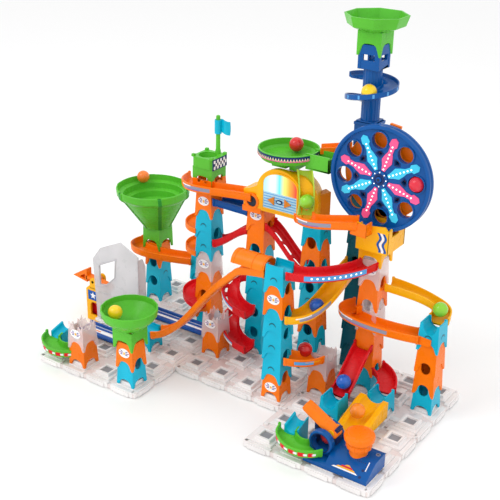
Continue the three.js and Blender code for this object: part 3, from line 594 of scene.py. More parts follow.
def bend(start, leave, end, arrive, reach):
    """A Bezier bend between two spots, with directions in plan and a reach in pitches."""
    a, d = spot(*start), spot(*end)
    b = a + Vector((*leave, 0)).normalized() * reach * PITCH
    c = d - Vector((*arrive, 0)).normalized() * reach * PITCH

    def at(t):
        s = 1 - t
        return a * s ** 3 + b * 3 * s * s * t + c * 3 * s * t * t + d * t ** 3
    return at


def through(spots):
    """A smooth line through a list of spots (Catmull-Rom)."""
    points = [spot(*s) for s in spots]
    points = [points[0] * 2 - points[1]] + points + [points[-1] * 2 - points[-2]]

    def at(t):
        spans = len(points) - 3
        k = min(int(t * spans), spans - 1)
        f = t * spans - k
        p0, p1, p2, p3 = points[k:k + 4]
        return 0.5 * (2 * p1 + (p2 - p0) * f + (2 * p0 - 5 * p1 + 4 * p2 - p3) * f ** 2
                      + (3 * p1 - p0 - 3 * p2 + p3) * f ** 3)
    return at


def station(curve, t):
    """Origin, level side and upward directions of a track at t."""
    step = 1e-3
    ahead = curve(min(t + step, 1)) - curve(max(t - step, 0))
    ahead.z = 0
    ahead.normalize()
    return curve(t), Vector((-ahead.y, ahead.x, 0)), UP


def span(curve, t0, t1, steps):
    return [station(curve, t0 + (t1 - t0) * n / steps) for n in range(steps + 1)]


def clear_of(curve, towers):
    """The stretch of the curve that lies outside the towers at its two ends."""
    def inside(t):
        p = curve(t)
        return any(max(abs(p.x - at_x(i)), abs(p.y - at_y(j))) < HALF + 0.4 for i, j in towers)
    steps = 400
    outside = [n / steps for n in range(steps + 1) if not inside(n / steps)]
    return outside[0], outside[-1]


def strip(shape, curve, side, low, high, t0, t1, slot):
    """A printed band along the outer wall of a track."""
    section = rect(side * (TRACK_HALF - 0.05), low, side * (TRACK_HALF + 0.12), high)
    sweep(shape, section, span(curve, t0, t1, 24), slot)


def collar(shape, curve, t, ahead):
    """The thicker lug at the end of a track, just outside its tower."""
    thick = [(u * 1.07, v * 1.08 - 0.2) for u, v in TROUGH]
    origin, side, up = station(curve, t)
    along = side.cross(up) * ahead
    sweep(shape, thick, [(origin, side, up), (origin + along * 2.6, side, up)])


def carve(piece, cutters):
    """Cuts one shape out of a piece and keeps the result as its mesh."""
    tool = placed("cutters", solid_mesh("cutters", cutters))
    bevels = [m for m in piece.modifiers if m.type == "BEVEL"]
    for m in bevels:
        m.show_viewport = False
    cut = piece.modifiers.new("cut", "BOOLEAN")
    cut.object = tool
    cut.solver = "EXACT"
    graph = bpy.context.evaluated_depsgraph_get()
    piece_mesh = bpy.data.meshes.new_from_object(piece.evaluated_get(graph))
    piece.modifiers.remove(cut)
    piece.data = piece_mesh
    piece_mesh.set_sharp_from_angle(angle=math.radians(SHARP))
    for m in bevels:
        m.show_viewport = True
    bpy.data.objects.remove(tool)


def track(name, curve, material, towers, prints=(), steps=36, slots=()):
    """A track with end lugs, printed bands (side, low, high, t0, t1, material) and slots in its
    floor (t, offset from the middle, length, width)."""
    t0, t1 = clear_of(curve, towers) if towers else (0, 1)
    shape = Shape()
    sweep(shape, TROUGH, span(curve, t0, t1, steps))
    collar(shape, curve, t0, 1)
    collar(shape, curve, t1, -1)
    materials = [material]
    for side, low, high, a, b, ink in prints:
        if ink not in materials:
            materials.append(ink)
        strip(shape, curve, side, low, high, a, b, materials.index(ink))
    piece = mould(name, shape, materials, bevel=0.25)
    if slots:
        cutters = Shape()
        for t, offset, length, width in slots:
            origin, side, _ = station(curve, t)
            ahead = side.cross(UP)
            place = facing(origin + side * offset + UP * 6, ahead, UP)
            outline = (arc(length / 2, 0, width / 2, -90, 90, 6)
                       + arc(-length / 2, 0, width / 2, 90, 270, 6))
            panel(cutters, outline, 12, place)
        carve(piece, cutters)
    return piece


def streaks(side, t0, t1):
    """The grey sticker with a white and a purple streak on the orange curves and a yellow one."""
    third = (t1 - t0) / 3
    return [(side, 2.2, 6.4, t0, t1, SILVER), (side, 5.2, 6.6, t0 - 0.03, t0 + third, WHITE),
            (side, 2.0, 3.2, t0 + third / 2, t1 - third, PURPLE)]


RIGHT, LEFT, BACK, FORWARD = (1, 0), (-1, 0), (0, 1), (0, -1)

slide = through([(3.75, 0, 5.38), (2.8, 0, 5.16), (2.4, 0, 4.74), (1.7, 0, 3.8), (0.73, 0, 2.15),
                 (0.2, 0, 1.4), (-0.3, 0, 0.9), (-0.72, 0, 0.68)])
track("slide_long", slide, AMBER, [(4, 0), (-1, 0)], steps=80)

COVER_RADIUS, COVER_WALL, COVER_LENGTH = 12.6, 1.6, 1.15 * PITCH
COVER_LIFT = 0.6               # height of the cover's lower edges above its axis


def slide_cover():
    shape = Shape()
    edge = math.degrees(math.asin(COVER_LIFT / COVER_RADIUS))
    section = (arc(0, 0, COVER_RADIUS, edge, 180 - edge, 18)
               + arc(0, 0, COVER_RADIUS - COVER_WALL, 180 - edge, edge, 18))

    def across(back):
        return spot(3.66, 0, 5.62) - Vector((back, 0, 0)), Vector((0, 1, 0)), UP
    sweep(shape, section, [across(COVER_LENGTH * k) for k in (1, 0.5, 0)])
    rib = [(u * 1.045, v * 1.045) for u, v in section]
    for k in (0.04, 0.36, 0.9):
        sweep(shape, rib, [across(COVER_LENGTH * k + d) for d in (1.4, 0)])
    make("slide_cover", shape, [AMBER], bevel=0.3)


slide_cover()

track("curve_red_lights", bend((4.2, 0, 5.55), RIGHT, (6, 1.8, 5.72), BACK, 0.88), RED,
      [(4, 0), (6, 2)], [(-1, 1.4, 7.2, 0.22, 0.8, SKY)]
      + [(-1, 3.3, 5.3, 0.28 + 0.05 * n, 0.297 + 0.05 * n, LAMP) for n in range(10)])
track("curve_yellow_middle", bend((4.2, 0, 3.62), RIGHT, (5, 2.8, 4.9), BACK, 1.1), YELLOW,
      [(4, 0), (5, 3)], streaks(-1, 0.16, 0.46))
track("curve_orange_small", bend((4.2, 0, 1.76), RIGHT, (5, 0.8, 1.7), BACK, 0.42), ORANGE,
      [(4, 0), (5, 1)], [(-1, 2.4, 6.2, 0.3, 0.66, SKY), (-1, 4.6, 5.6, 0.5, 0.8, YELLOW)])
track("curve_orange_right", bend((5.75, 1.9, 3.65), (-0.7, -0.7), (7.8, 1.9, 3.1), (0.95, 0.3), 1.3),
      ORANGE, [(6, 2), (8, 2)], streaks(-1, 0.3, 0.74))
track("curve_yellow_right", bend((6.2, 2.3, 4.62), RIGHT, (8, 2.2, 3.66), FORWARD, 1.2), YELLOW,
      [(6, 2), (8, 2)])
track("ramp_red_straight", bend((6, 1.8, 2.05), FORWARD, (6, 0.2, 0.66), FORWARD, 0.45), RED,
      [(6, 2), (6, 0)])
track("ramp_red_slotted", bend((2.2, 2, 6.02), RIGHT, (3.8, 2, 4.45), RIGHT, 0.5), RED,
      [(2, 2), (4, 2)], slots=[(t, 0, 6, 5) for t in (0.28, 0.5, 0.72)])
track("ramp_red_curved", bend((0.2, 2, 4.5), RIGHT, (1.8, 2, 5.6), RIGHT, 0.55), RED, [(0, 2), (2, 2)])
track("ramp_blue", bend((0.2, 2, 6.45), RIGHT, (1.8, 2, 6.42), RIGHT, 0.5), BLUE, [(0, 2), (2, 2)])
track("curve_orange_flag", bend((-0.68, 2.25, 7.12), FORWARD, (1.95, 1.7, 7.3), (1, 0.12), 1.22),
      ORANGE, [], streaks(-1, 0.3, 0.62))
track("curve_orange_wheel", bend((4.05, 1.12, 7.3), (0.6, -0.5), (5.72, 1.3, 7.5), (1, 0.4), 0.6),
      ORANGE, [], streaks(-1, 0.1, 0.62))
track("curve_orange_funnel", bend((-3.45, 2.95, 2.68), (-0.4, -1), (-1.2, 2.9, 2.58), (0.9, 0.4), 1.1),
      ORANGE, [(-3, 3), (-1, 3)])
RED_SLOTS = [(t, -5.2, 5, 3) for t in (0.22, 0.36, 0.5, 0.64, 0.78)]
RED_EDGE = [(-1, 1.6, 4.2, 0.2, 0.86, WHITE), (-1, 4.2, 5.8, 0.2, 0.86, SKY)]
for which, top in (("upper", 3.3), ("lower", 1.6)):
    loop = bend((1.8, 2.1, top), LEFT, (2.3, 1.02, top - 0.95), RIGHT, 1.15)
    track("loop_red_" + which, loop, RED, [(2, 2)], RED_EDGE, slots=RED_SLOTS)
track("curve_red_low", bend((6.2, 2, 0.95), RIGHT, (7, 1.2, 0.66), FORWARD, 0.45), RED,
      [(6, 2), (7, 1)], [(1, 2, 6, 0.3, 0.7, WHITE)])


def green_swing(i):
    return through([(i + across, j, level) for across, j, level in (
        (0, -1.86, 0.5), (0.06, -2.12, 0.42), (0.36, -2.3, 0.36), (0.66, -2.3, 0.33), (0.88, -2.17, 0.31),
        (1.02, -1.98, 0.3))])


CHEVRONS = []                  # red and white arrows along the outer wall
for n in range(5):
    step = (0.86 - 0.2) / 5
    t = 0.2 + n * step
    CHEVRONS += [(-1, 1.2, 5.6, t, t + step * 0.62, RED),
                 (-1, 2.2, 4.6, t + step * 0.5, t + step * 0.9, WHITE)]
track("curve_green_left", green_swing(-3.38), GREEN, [(-2, -2)], CHEVRONS)
track("curve_green_front", green_swing(5.64), GREEN, [], CHEVRONS)


# --- striped lanes

def lane(name, i0, i1, j, width, level):
    """A clear floor with blue rails and stripes, and an orange and white dash in the middle."""
    shape = Shape()
    x0, x1 = at_x(i0), at_x(i1)
    y0, y1 = at_y(j - width / 2), at_y(j + width / 2)
    z = at_z(level)
    brick(shape, (x0, y0, z), (x1, y1, z + 1.6), 1)
    for y in (y0, y0 + 5.2, y1 - 8, y1 - 2.8):
        brick(shape, (x0, y, z + 0.2), (x1, y + 2.8, z + (4.8 if y in (y0, y1 - 2.8) else 2.6)), 0)
    middle = (y0 + y1) / 2
    brick(shape, (x0 + 6, middle - 1, z + 1.5), (x1 - 6, middle + 1, z + 1.75), 2)
    brick(shape, (x0 + 16, middle - 0.8, z + 1.6), (x0 + 26, middle + 0.8, z + 1.9), 3)
    for x in (x0, x1 - 2):
        brick(shape, (x, y0 + 0.2, z - 0.6), (x + 2, y1 - 0.2, z + 2.2), 0)
    mould(name, shape, [LANE_BLUE, BASE_CLEAR, WHITE, ORANGE], bevel=0.3)


lane("lane_left", -3.25, -1.45, -0.62, 0.66, 0.32)
lane("lane_back", -2.25, 0.66, 1.12, 0.6, 0.66)


# --- funnels

def sleeve(shape, centre, foot, top, half, arch, skin=1.4, taper=0.0):
    """A square neck on four pointed legs, with an arch between each two."""
    height = top - foot
    edge = mirrored([(-half, 0), (-half + 1.6, 0), (-half + 3.6, arch * 0.45), (-half + 5.4, arch * 0.8),
                     (-half + 8, arch * 0.96), (0, arch)])
    outline = edge + [(half, height), (-half, height)]
    for right, out in FACES.values():
        def place(p, right=right, out=out):
            reach = half - taper * p.y - p.z
            return (Vector((centre[0], centre[1], foot + p.y)) + right * (p.x * reach / half)
                    + out * reach)
        panel(shape, outline, skin, place, skip=corner_at(half))


RIDGE_SPACING = 5


def funnel(name, i, j, outer, inner, neck, lean=0.0, sides=48, ribs=(), turn=0.0, ridge=0.0):
    """A bowl turned from its outer and inner profiles, leaning as it rises, on a square neck."""
    centre = (at_x(i), at_y(j), 0)
    foot, top = outer[0][1], outer[-1][1]

    def tilt(p):
        return p + Vector((lean * (p.z - foot) / (top - foot), 0, 0))
    shape = Shape()
    wall = []
    for (r0, z0), (r1, z1) in zip(outer, outer[1:]):
        steps = max(1, int(abs(z1 - z0) / RIDGE_SPACING)) if ridge else 1
        for k in range(steps):
            f = k / steps
            wall += [(r0 + (r1 - r0) * f, z0 + (z1 - z0) * f)]
            if ridge and abs(r1 - r0) > 1:
                wall += [(r0 + (r1 - r0) * (f + 0.12 / steps) + ridge, z0 + (z1 - z0) * f + 0.5)]
    wall += [outer[-1]]
    lathe(shape, wall + inner + [wall[0]], centre, sides, stretch=tilt, turn=turn)
    for angle in ribs:
        out, side = compass(angle)
        line = [(r * out + Vector(centre) + UP * z) for r, z in outer[1:]]
        # each rib is a green strip with a narrower dark green strip of painted shade on it, for the groove
        for half, lift, slot in ((3.4, 0.8, 0), (2.2, 1.1, 1)):
            section = rect(-half, -0.6, half, lift)
            sweep(shape, section, [(tilt(p), side, (out - UP * 0.6).normalized()) for p in line], slot)
    foot_z, half, arch, taper = neck
    sleeve(shape, centre, foot_z, foot + 1.4, half, arch, taper=taper)
    mould(name, shape, [GREEN, GROOVE_SHADE_GREEN], smooth=30)


funnel("funnel_big", -3, 3,
       [(13.4, 107), (17, 108.5), (17.5, 111), (40, 146), (44.6, 149.5), (45.5, 151), (45.5, 158),
        (44.8, 159)],
       [(43.7, 159), (43.2, 152.2), (37.6, 150.6), (36.8, 143.6), (30.8, 142.2), (29.6, 134.6),
        (23.2, 132.8), (21.2, 124), (14, 115), (8.7, 111)],
       (79.4, 13.6, 13, 0.02), lean=-7, ribs=(-40, -112, -160, 20, 75, 130), ridge=0.5)
funnel("funnel_small", 0, -2,
       [(13.2, 76), (16, 77.5), (28.5, 89.5), (30.2, 91.6), (31.5, 98.6), (31.5, 100.6)],
       [(29.8, 101), (29.0, 94.6), (26.6, 91.6), (16, 84), (8.7, 79)],
       (54, 13.5, 11, 0.0), sides=16, turn=0.1)
funnel("funnel_top", 5, 3,
       [(13.2, 391), (14.5, 391), (29.4, 397), (32.6, 406.4), (33, 408)],
       [(31.2, 408), (28.2, 398.4), (14, 393.8), (8.7, 393)],
       (367.6, 13.5, 12.5, 0.0), sides=8, turn=math.pi / 8)


# --- music dome

def gradient(name, stops, low, high, axis, glow):
    """Lit plastic whose colour runs along one axis between two places in metres."""
    material, tree, shader = nodes_of(name)
    split = node(tree, "SeparateXYZ", {"Vector": node(tree, "TexCoord").outputs["Object"]})
    spread = node(tree, "MapRange", {"Value": split.outputs[axis]}, From_Min=low, From_Max=high)
    ramp = node(tree, "ValToRGB", {"Fac": spread.outputs["Result"]})
    colours = ramp.color_ramp.elements
    for element, (at, colour) in zip(colours, (stops[0], stops[-1])):
        element.position, element.color = at, (*colour, 1)
    for at, colour in stops[1:-1]:
        colours.new(at).color = (*colour, 1)
    for target in ("Base Color", "Emission Color"):
        tree.links.new(ramp.outputs["Color"], shader.inputs[target])
    tree.links.new(speckle(tree, 90, 0.12 * 0.8, 0.12 * 1.3), shader.inputs["Roughness"])
    shader.inputs["Emission Strength"].default_value = glow
    return material


DOME_FRONT, DOME_FOOT, DOME_TOP = 15.2, 193.1, 243
FACE_LEFT, FACE_RIGHT = -11.5, 44.5        # sides of the dome's raised front panel

LIGHTS = [(0, (0.45, 0.8, 1)), (0.3, (0.9, 0.97, 1)), (0.48, (0.1, 0.75, 0.85)), (0.62, (0.95, 0.9, 0.2)),
          (0.8, (1, 0.4, 0.03)), (1, (0.75, 0.05, 0.02))]
WINDOW = gradient("dome_lights", LIGHTS, -0.001, 0.038, "X", 0.22)


def arch_outline(left, right, foot, shoulder, top):
    """A rounded arch: straight sides to the shoulder, then a flattened half circle."""
    mid, half = (left + right) / 2, (right - left) / 2
    crown = [(mid + half * u, shoulder + (top - shoulder) * v) for u, v in arc(0, 0, 1, 0, 180, 20)]
    return [(left, foot), (right, foot)] + crown


def dome_face(depth):
    return front_at(0, DOME_FRONT + depth, 0)


def dome_shell():
    shape = Shape()
    sections = [(17.4, 0.0), (19, 0.0), (26, 1.6), (36, 4.5), (46, 8.5), (52, 13), (56.3, 19)]
    rings = []
    for y, drop in sections:
        outline = arch_outline(FACE_LEFT + drop * 0.5, 61.5 - drop * 0.8 if y > 19 else FACE_RIGHT + 1,
                               DOME_FOOT, 214 - drop * 0.4, DOME_TOP - drop * 0.6)
        rings.append([(u, y, v) for u, v in outline])
    n = len(rings[0])
    verts = [p for ring in rings for p in ring]
    faces = between(len(rings), n)
    for r in (0, len(rings) - 1):
        faces += [[r * n + k for k in t] for t in filled([(x, z) for x, _, z in rings[r]])]
    shape.add(verts, faces)
    panel(shape, arch_outline(FACE_LEFT - 0.4, FACE_RIGHT + 1.4, DOME_FOOT, 216, DOME_TOP + 1.2), 6,
          dome_face(1.2))
    bezel = arch_outline(FACE_LEFT + 7, FACE_RIGHT - 3.5, 196.5, 226, 240.5)
    window = arch_outline(FACE_LEFT + 8.6, FACE_RIGHT - 5, 198, 226, 238.9)
    panel(shape, bezel, 2, dome_face(0.2), holes=[window])
    (left, sill), (right, _) = window[:2]
    split = 217                # the lit window is above this height, and the printed plate below it
    lit = [(u, v) for u, v in window if v > split - 2]
    place = dome_face(0.8)
    panel(shape, [(left, split), (right, split)] + lit, 1, place, slot=1)
    panel(shape, rect(left, sill, right, split), 1, place, slot=2)
    for n in range(6):
        z = 199.4 + n * 3
        panel(shape, rect(left + 0.6, z, right - 0.6, z + 1), 0.3, dome_face(0.65), slot=3)
    button = dome_face(-0.3)
    panel(shape, [(3, 208), (11.5, 203.4), (11.5, 213)], 1.4, button, slot=4)
    panel(shape, [(33, 208), (24.5, 213), (24.5, 203.4)], 1.4, button, slot=4)
    panel(shape, oval(18, 208.2, 4.2, 2.4, 20), 1.2, button, slot=5)
    panel(shape, oval(18, 208.2, 2.8, 1.2, 16), 0.3, dome_face(-0.45), slot=2)
    shoulder = [(-30, 193.2), (-8, 193.2), (-8, 226), (-14, 219), (-22, 215), (-30, 213)]
    panel(shape, shoulder, 24, dome_face(3))
    make("dome_shell", shape, [YELLOW, WINDOW, PALE_BLUE, SKY, BROWN, NAVY], replaces=["music_dome"],
         bevel=0.5, smooth=40)


def dome_groove():
    """The lit half-round groove that the marble runs down at the dome's right edge."""
    groove = Shape()
    points = [Vector(p) for p in ((41, 27, 247), (45, 24, 238), (49, 20, 226), (51.5, 16.5, 213),
                                  (52, 13, 202))]
    section = arc(0, 0, 7.2, -200, 20, 14) + arc(0, 0, 8.6, 20, -200, 14)
    side = Vector((0.84, 0.54, 0)).normalized()
    stations = []
    for k, p in enumerate(points):
        ahead = (points[min(k + 1, 4)] - points[max(k - 1, 0)]).normalized()
        stations.append((p, side, side.cross(ahead) * -1))
    sweep(groove, section, stations)
    make("dome_groove", groove, [GLOW_GREEN], bevel=0.2)


def dome_amber_box():
    box = Shape()
    place = facing((60, 37, 212), (0.5, 0.86, 0), (0.86, -0.5, 0))
    panel(box, [(-9, -19), (9, -19), (9, 10), (-3, 8), (-9, 5)], 11, place)
    make("dome_amber_box", box, [BROWN], bevel=0.8)


def dome_left_port():
    """The orange ring and block under the dome's left side."""
    ports = Shape()
    x, y = at_x(2), at_y(2)
    eye = (x, DOME_FRONT + 1.6, 201)
    lathe(ports, hoop(6.4, -1.2, 9.4, 1.4), eye, 28, axis="y")
    # a dark disc of painted shade fills the ring's opening
    lathe(ports, rect(0, 0.4, 6.5, 0.8), eye, 28, slot=1, axis="y")
    brick(ports, (x - 12, DOME_FRONT + 0.8, 188), (x + 12, DOME_FRONT + 3, 194.5))
    brick(ports, (x - 13, y - 14, 186), (x + 13, y + 13, 193))
    make("dome_left_port", ports, [ORANGE, HOLLOW_SHADE], bevel=0.6)


dome_shell()
dome_groove()
dome_amber_box()
dome_left_port()


# --- dish

DISH = Vector((at_x(2.89), at_y(2.06), 0))
DISH_R, DISH_FOOT, DISH_FLOOR, DISH_TOP = 33.4, 243.3, 250, 263.5


def on_dish(radius, *places):
    return [DISH + Vector((radius * math.cos(a), radius * math.sin(a), z)) for a, z in places]


def zigzag(shape):
    """The printed band around the front of the dish, with two rows of teeth."""
    count = 44
    low, high = DISH_TOP - 6.6, DISH_TOP - 0.9
    for n in range(count):
        a0, a1 = (math.radians(150 + 240 * (n + k) / count) for k in (0, 1))
        shape.add([p for r in (DISH_R - 0.7, DISH_R + 0.12) for p in on_dish(r, *rect(a0, low, a1, high))],
                  SLAB, 1)
        for k, (base, tip) in enumerate(((low + 0.4, high - 1.4), (low + 0.2, high - 3.4))):
            tri = on_dish(DISH_R + 0.2 + 0.08 * k, (a0, base), (a1, base), ((a0 + a1) / 2, tip))
            shape.add(tri + [p + Vector((p.x - DISH.x, p.y - DISH.y, 0)).normalized() * -0.3 for p in tri],
                      [(0, 1, 2), (5, 4, 3), (0, 3, 4, 1), (1, 4, 5, 2), (2, 5, 3, 0)], 2 + k)


def dish():
    shape = Shape()
    lathe(shape, [(12, DISH_FOOT + 4), (14, DISH_FLOOR - 1.5), (30, DISH_FLOOR + 2.4),
                  (DISH_R - 0.9, DISH_FLOOR + 6.4), (DISH_R - 0.2, DISH_TOP - 0.8), (DISH_R - 0.2, DISH_TOP),
                  (DISH_R - 1.8, DISH_TOP), (DISH_R - 2.6, DISH_FLOOR + 7), (28, DISH_FLOOR + 4.6),
                  (14, DISH_FLOOR + 2), (0, DISH_FLOOR + 1.4)], DISH, 56)
    lathe(shape, [(0, DISH_FOOT + 4.2), (12, DISH_FOOT + 4.2)], DISH, 56)
    for x0, x1 in ((-13, 5), (9, 17)):
        brick(shape, (DISH.x + x0, DISH.y - 13, DISH_FOOT + 0.2), (DISH.x + x1, DISH.y + 11, DISH_FOOT + 7))
    # spout with its open top
    x0, x1 = DISH.x + 27, DISH.x + 55.5
    y0, y1 = DISH.y - 10, DISH.y + 10.6
    z0, z1 = DISH_FLOOR - 2.6, DISH_TOP + 1
    brick(shape, (x0, y0, z0), (x1, y1, z0 + 2))
    brick(shape, (x0, y0, z0), (x1, y0 + 1.8, z1))
    brick(shape, (x0, y1 - 1.8, z0), (x1, y1, z1))
    brick(shape, (x1 - 1.8, y0, z0), (x1, y1, z1 - 2))
    zigzag(shape)
    mould("dish", shape, [GREEN, NAVY, CREAM, PINK], bevel=0.3, smooth=30)


dish()


# --- flag block and flag

FLAG_POLE = (at_x(0) + 4, at_y(2) + 11.4)


def flag_block():
    shape = Shape()
    x, y = at_x(0), at_y(2)
    sleeve(shape, (x, y), 202.2, 222, 13.5, 10)
    z0, z1 = 221.5, 234
    place = top_at(x, y, z1)
    chamfer = [(-14.6, -11), (-11, -14.6), (11, -14.6), (14.6, -11), (14.6, 11), (11, 14.6), (-11, 14.6),
               (-14.6, 11)]
    panel(shape, chamfer, z1 - z0, place, [circle(-1, -1, 10.6, 28)])
    lathe(shape, [(0, 224.5), (6, 224.8), (9.6, 228), (10.7, 233), (10.7, 230), (9.2, 225), (6, 223),
                  (0, 222.6)], (x - 1, y - 1, 0), 28)
    for dx, dy in ((-1, -1), (1, -1), (-1, 1), (1, 1)):
        cx, cy = x + dx * 12.6, y + dy * 12.6
        brick(shape, (cx - 1.8, cy - 1.8, z1 - 1), (cx + 1.8, cy + 1.8, z1 + 2.2))
    # chequered plate on the right
    side = right_at(x + 15.2, y, 227)
    panel(shape, rect(-13, -6, 13, 6.6), 1.2, side, slot=1)
    over = right_at(x + 15.4, y, 227)
    for n in range(8):
        for row in range(3):
            if (n + row) % 2 == 0:
                u, v = -12 + 3 * n, -5 + 3.5 * row
                panel(shape, rect(u, v, u + 3, v + 3.5), 0.3, over, slot=2)
    px, py = FLAG_POLE
    lathe(shape, [(0, 232), (3.6, 232), (3.2, 237), (2.6, 239), (2.4, 277), (1.6, 278), (0, 278)],
          (px, py, 0), 20)
    mould("flag_block", shape, [GREEN, NAVY, WHITE])


def flag():
    """The waving cloth on its sleeve, with an oval on both sides."""
    cloth = Shape()
    px, py = FLAG_POLE
    lathe(cloth, hoop(2.9, 257, 4.1, 273), (px, py, 0), 20)
    columns, bands, foot, height = 14, 5, 258, 15.6
    rows = [foot + height * k / bands for k in range(bands + 1)]
    for n in range(columns):
        for k in range(bands):
            corners = []
            for off in (0.55, -0.55):
                for c, r in ((n, k), (n + 1, k), (n + 1, k + 1), (n, k + 1)):
                    u = 3.6 + 13.2 * c / columns
                    wave = 0.9 * math.sin(u * 0.42)
                    inset = 1.8 * abs(r - 2.5) / 2.5 * (c / columns)
                    corners.append((px + u - inset * 0.4, py + wave + off, rows[r] + 0.8 * math.sin(u * 0.3)))
            cloth.add(corners, SLAB)
    for off in (0.75, -0.75):
        mark = [(px + u, py + 0.36 * math.sin((u - 4) * 0.42 + 1.6) + off + 0.3, v)
                for u, v in oval(10.2, 266.6, 3.8, 2.9, 20)]
        cloth.add(mark, [list(range(20))], 1)
    make("flag_panel", cloth, [TEAL, NAVY], replaces=["flag"], bevel=0.2)


flag_block()
flag()


# --- marble wheel

WHEEL = Vector((at_x(6.03), 27, 254.5))
WHEEL_R, WHEEL_RIM, WHEEL_DEPTH = 55.5, 4, 10.5
HOLE_RING, HOLE_R, SMALL_RING, FIRST_HOLE = 40, 8.6, 27, 4.5


def on_wheel(front):
    return front_at(WHEEL.x, WHEEL.y + front, WHEEL.z)


def turned_about(points, angle):
    c, s = math.cos(math.radians(angle)), math.sin(math.radians(angle))
    return [(u * c - v * s, u * s + v * c) for u, v in points]


def ring_hole(n, radius, reach=HOLE_RING):
    return turned_about(circle(reach, 0, radius, 28), FIRST_HOLE + 45 * n)


def diamond(n, length, width):
    return turned_about([(SMALL_RING - length, 0), (SMALL_RING, -width), (SMALL_RING + length, 0),
                         (SMALL_RING, width)], FIRST_HOLE + 45 * n)


def marble_wheel():
    shape = Shape()
    low, high = WHEEL.y, WHEEL.y + WHEEL_DEPTH
    inner = WHEEL_R - WHEEL_RIM
    lathe(shape, [(inner - 0.4, low + 3), (inner, low + 0.9), (inner + 0.8, low), (WHEEL_R - 1, low),
                  (WHEEL_R, low + 1), (WHEEL_R, low + 3.6), (WHEEL_R - 0.7, low + 4),
                  (WHEEL_R - 0.7, high - 4), (WHEEL_R, high - 3.6),
                  (WHEEL_R, high - 1), (WHEEL_R - 1, high), (inner + 0.8, high),
                  (inner - 0.4, high - 3), (inner - 0.4, low + 3)],
          (WHEEL.x, 0, WHEEL.z), 96, axis="y")
    bore = circle(0, 0, 3.5, 20)
    big = [ring_hole(n, HOLE_R) for n in range(8)]
    small = [diamond(n, 2.6, 3.2) for n in range(8)]
    panel(shape, circle(0, 0, inner + 0.4, 96), 5, on_wheel(3), holes=[bore] + big + small)
    edge = [(10, -1.8), (15, -3.2), (21, -5.8), (27, -4.2), (31, -2.6), (37, -2.5), (39, -4.6), (45, -3.8)]
    spoke = edge + [(47.5, 0)] + [(u, -v) for u, v in reversed(edge)]
    for n in range(8):
        panel(shape, ring_hole(n, HOLE_R + 1.5), 1.2, on_wheel(2), holes=[ring_hole(n, HOLE_R)])
        panel(shape, ring_hole(n, HOLE_R + 1.3), 3.2, on_wheel(7.4), holes=[ring_hole(n, HOLE_R + 0.1)],
              slot=1)
        panel(shape, diamond(n, 4.4, 5), 0.7, on_wheel(2.5), holes=[small[n]], slot=5)
        angle = FIRST_HOLE + 45 * n + 22.5
        panel(shape, turned_about(spoke, angle), 1.2, on_wheel(2.1), slot=3 if n % 2 else 2)
        for k in range(7):
            panel(shape, turned_about(circle(12 + 4.3 * k, 0, 0.85, 12), angle), 0.9, on_wheel(1.5), slot=4)
    panel(shape, circle(0, 0, 9, 36), 2, on_wheel(1.6), holes=[bore])
    panel(shape, circle(0, 0, 6, 32), 1, on_wheel(1), holes=[bore], slot=5)
    for n in range(8):
        panel(shape, turned_about(circle(7.5, 0, 0.6, 10), 45 * n), 0.6, on_wheel(1.2), slot=4)
    mould("marble_wheel", shape, [WHEEL_BLUE, BROWN, CYAN, ROSE, GLOW, NAVY], body="wheel", bevel=0.3,
          smooth=30)


marble_wheel()


def screw(shape, place, slot, radius=2.6):
    """A screw head with its cross."""
    panel(shape, circle(0, 0, radius, 20), 0.6, place, slot=slot)
    for along, across in ((radius * 0.7, 0.35), (0.35, radius * 0.7)):
        def lifted(p):
            return place(Vector((p.x, p.y, p.z - 0.2)))
        panel(shape, rect(-along, -across, along, across), 0.3, lifted,
              slot=slot + 1)


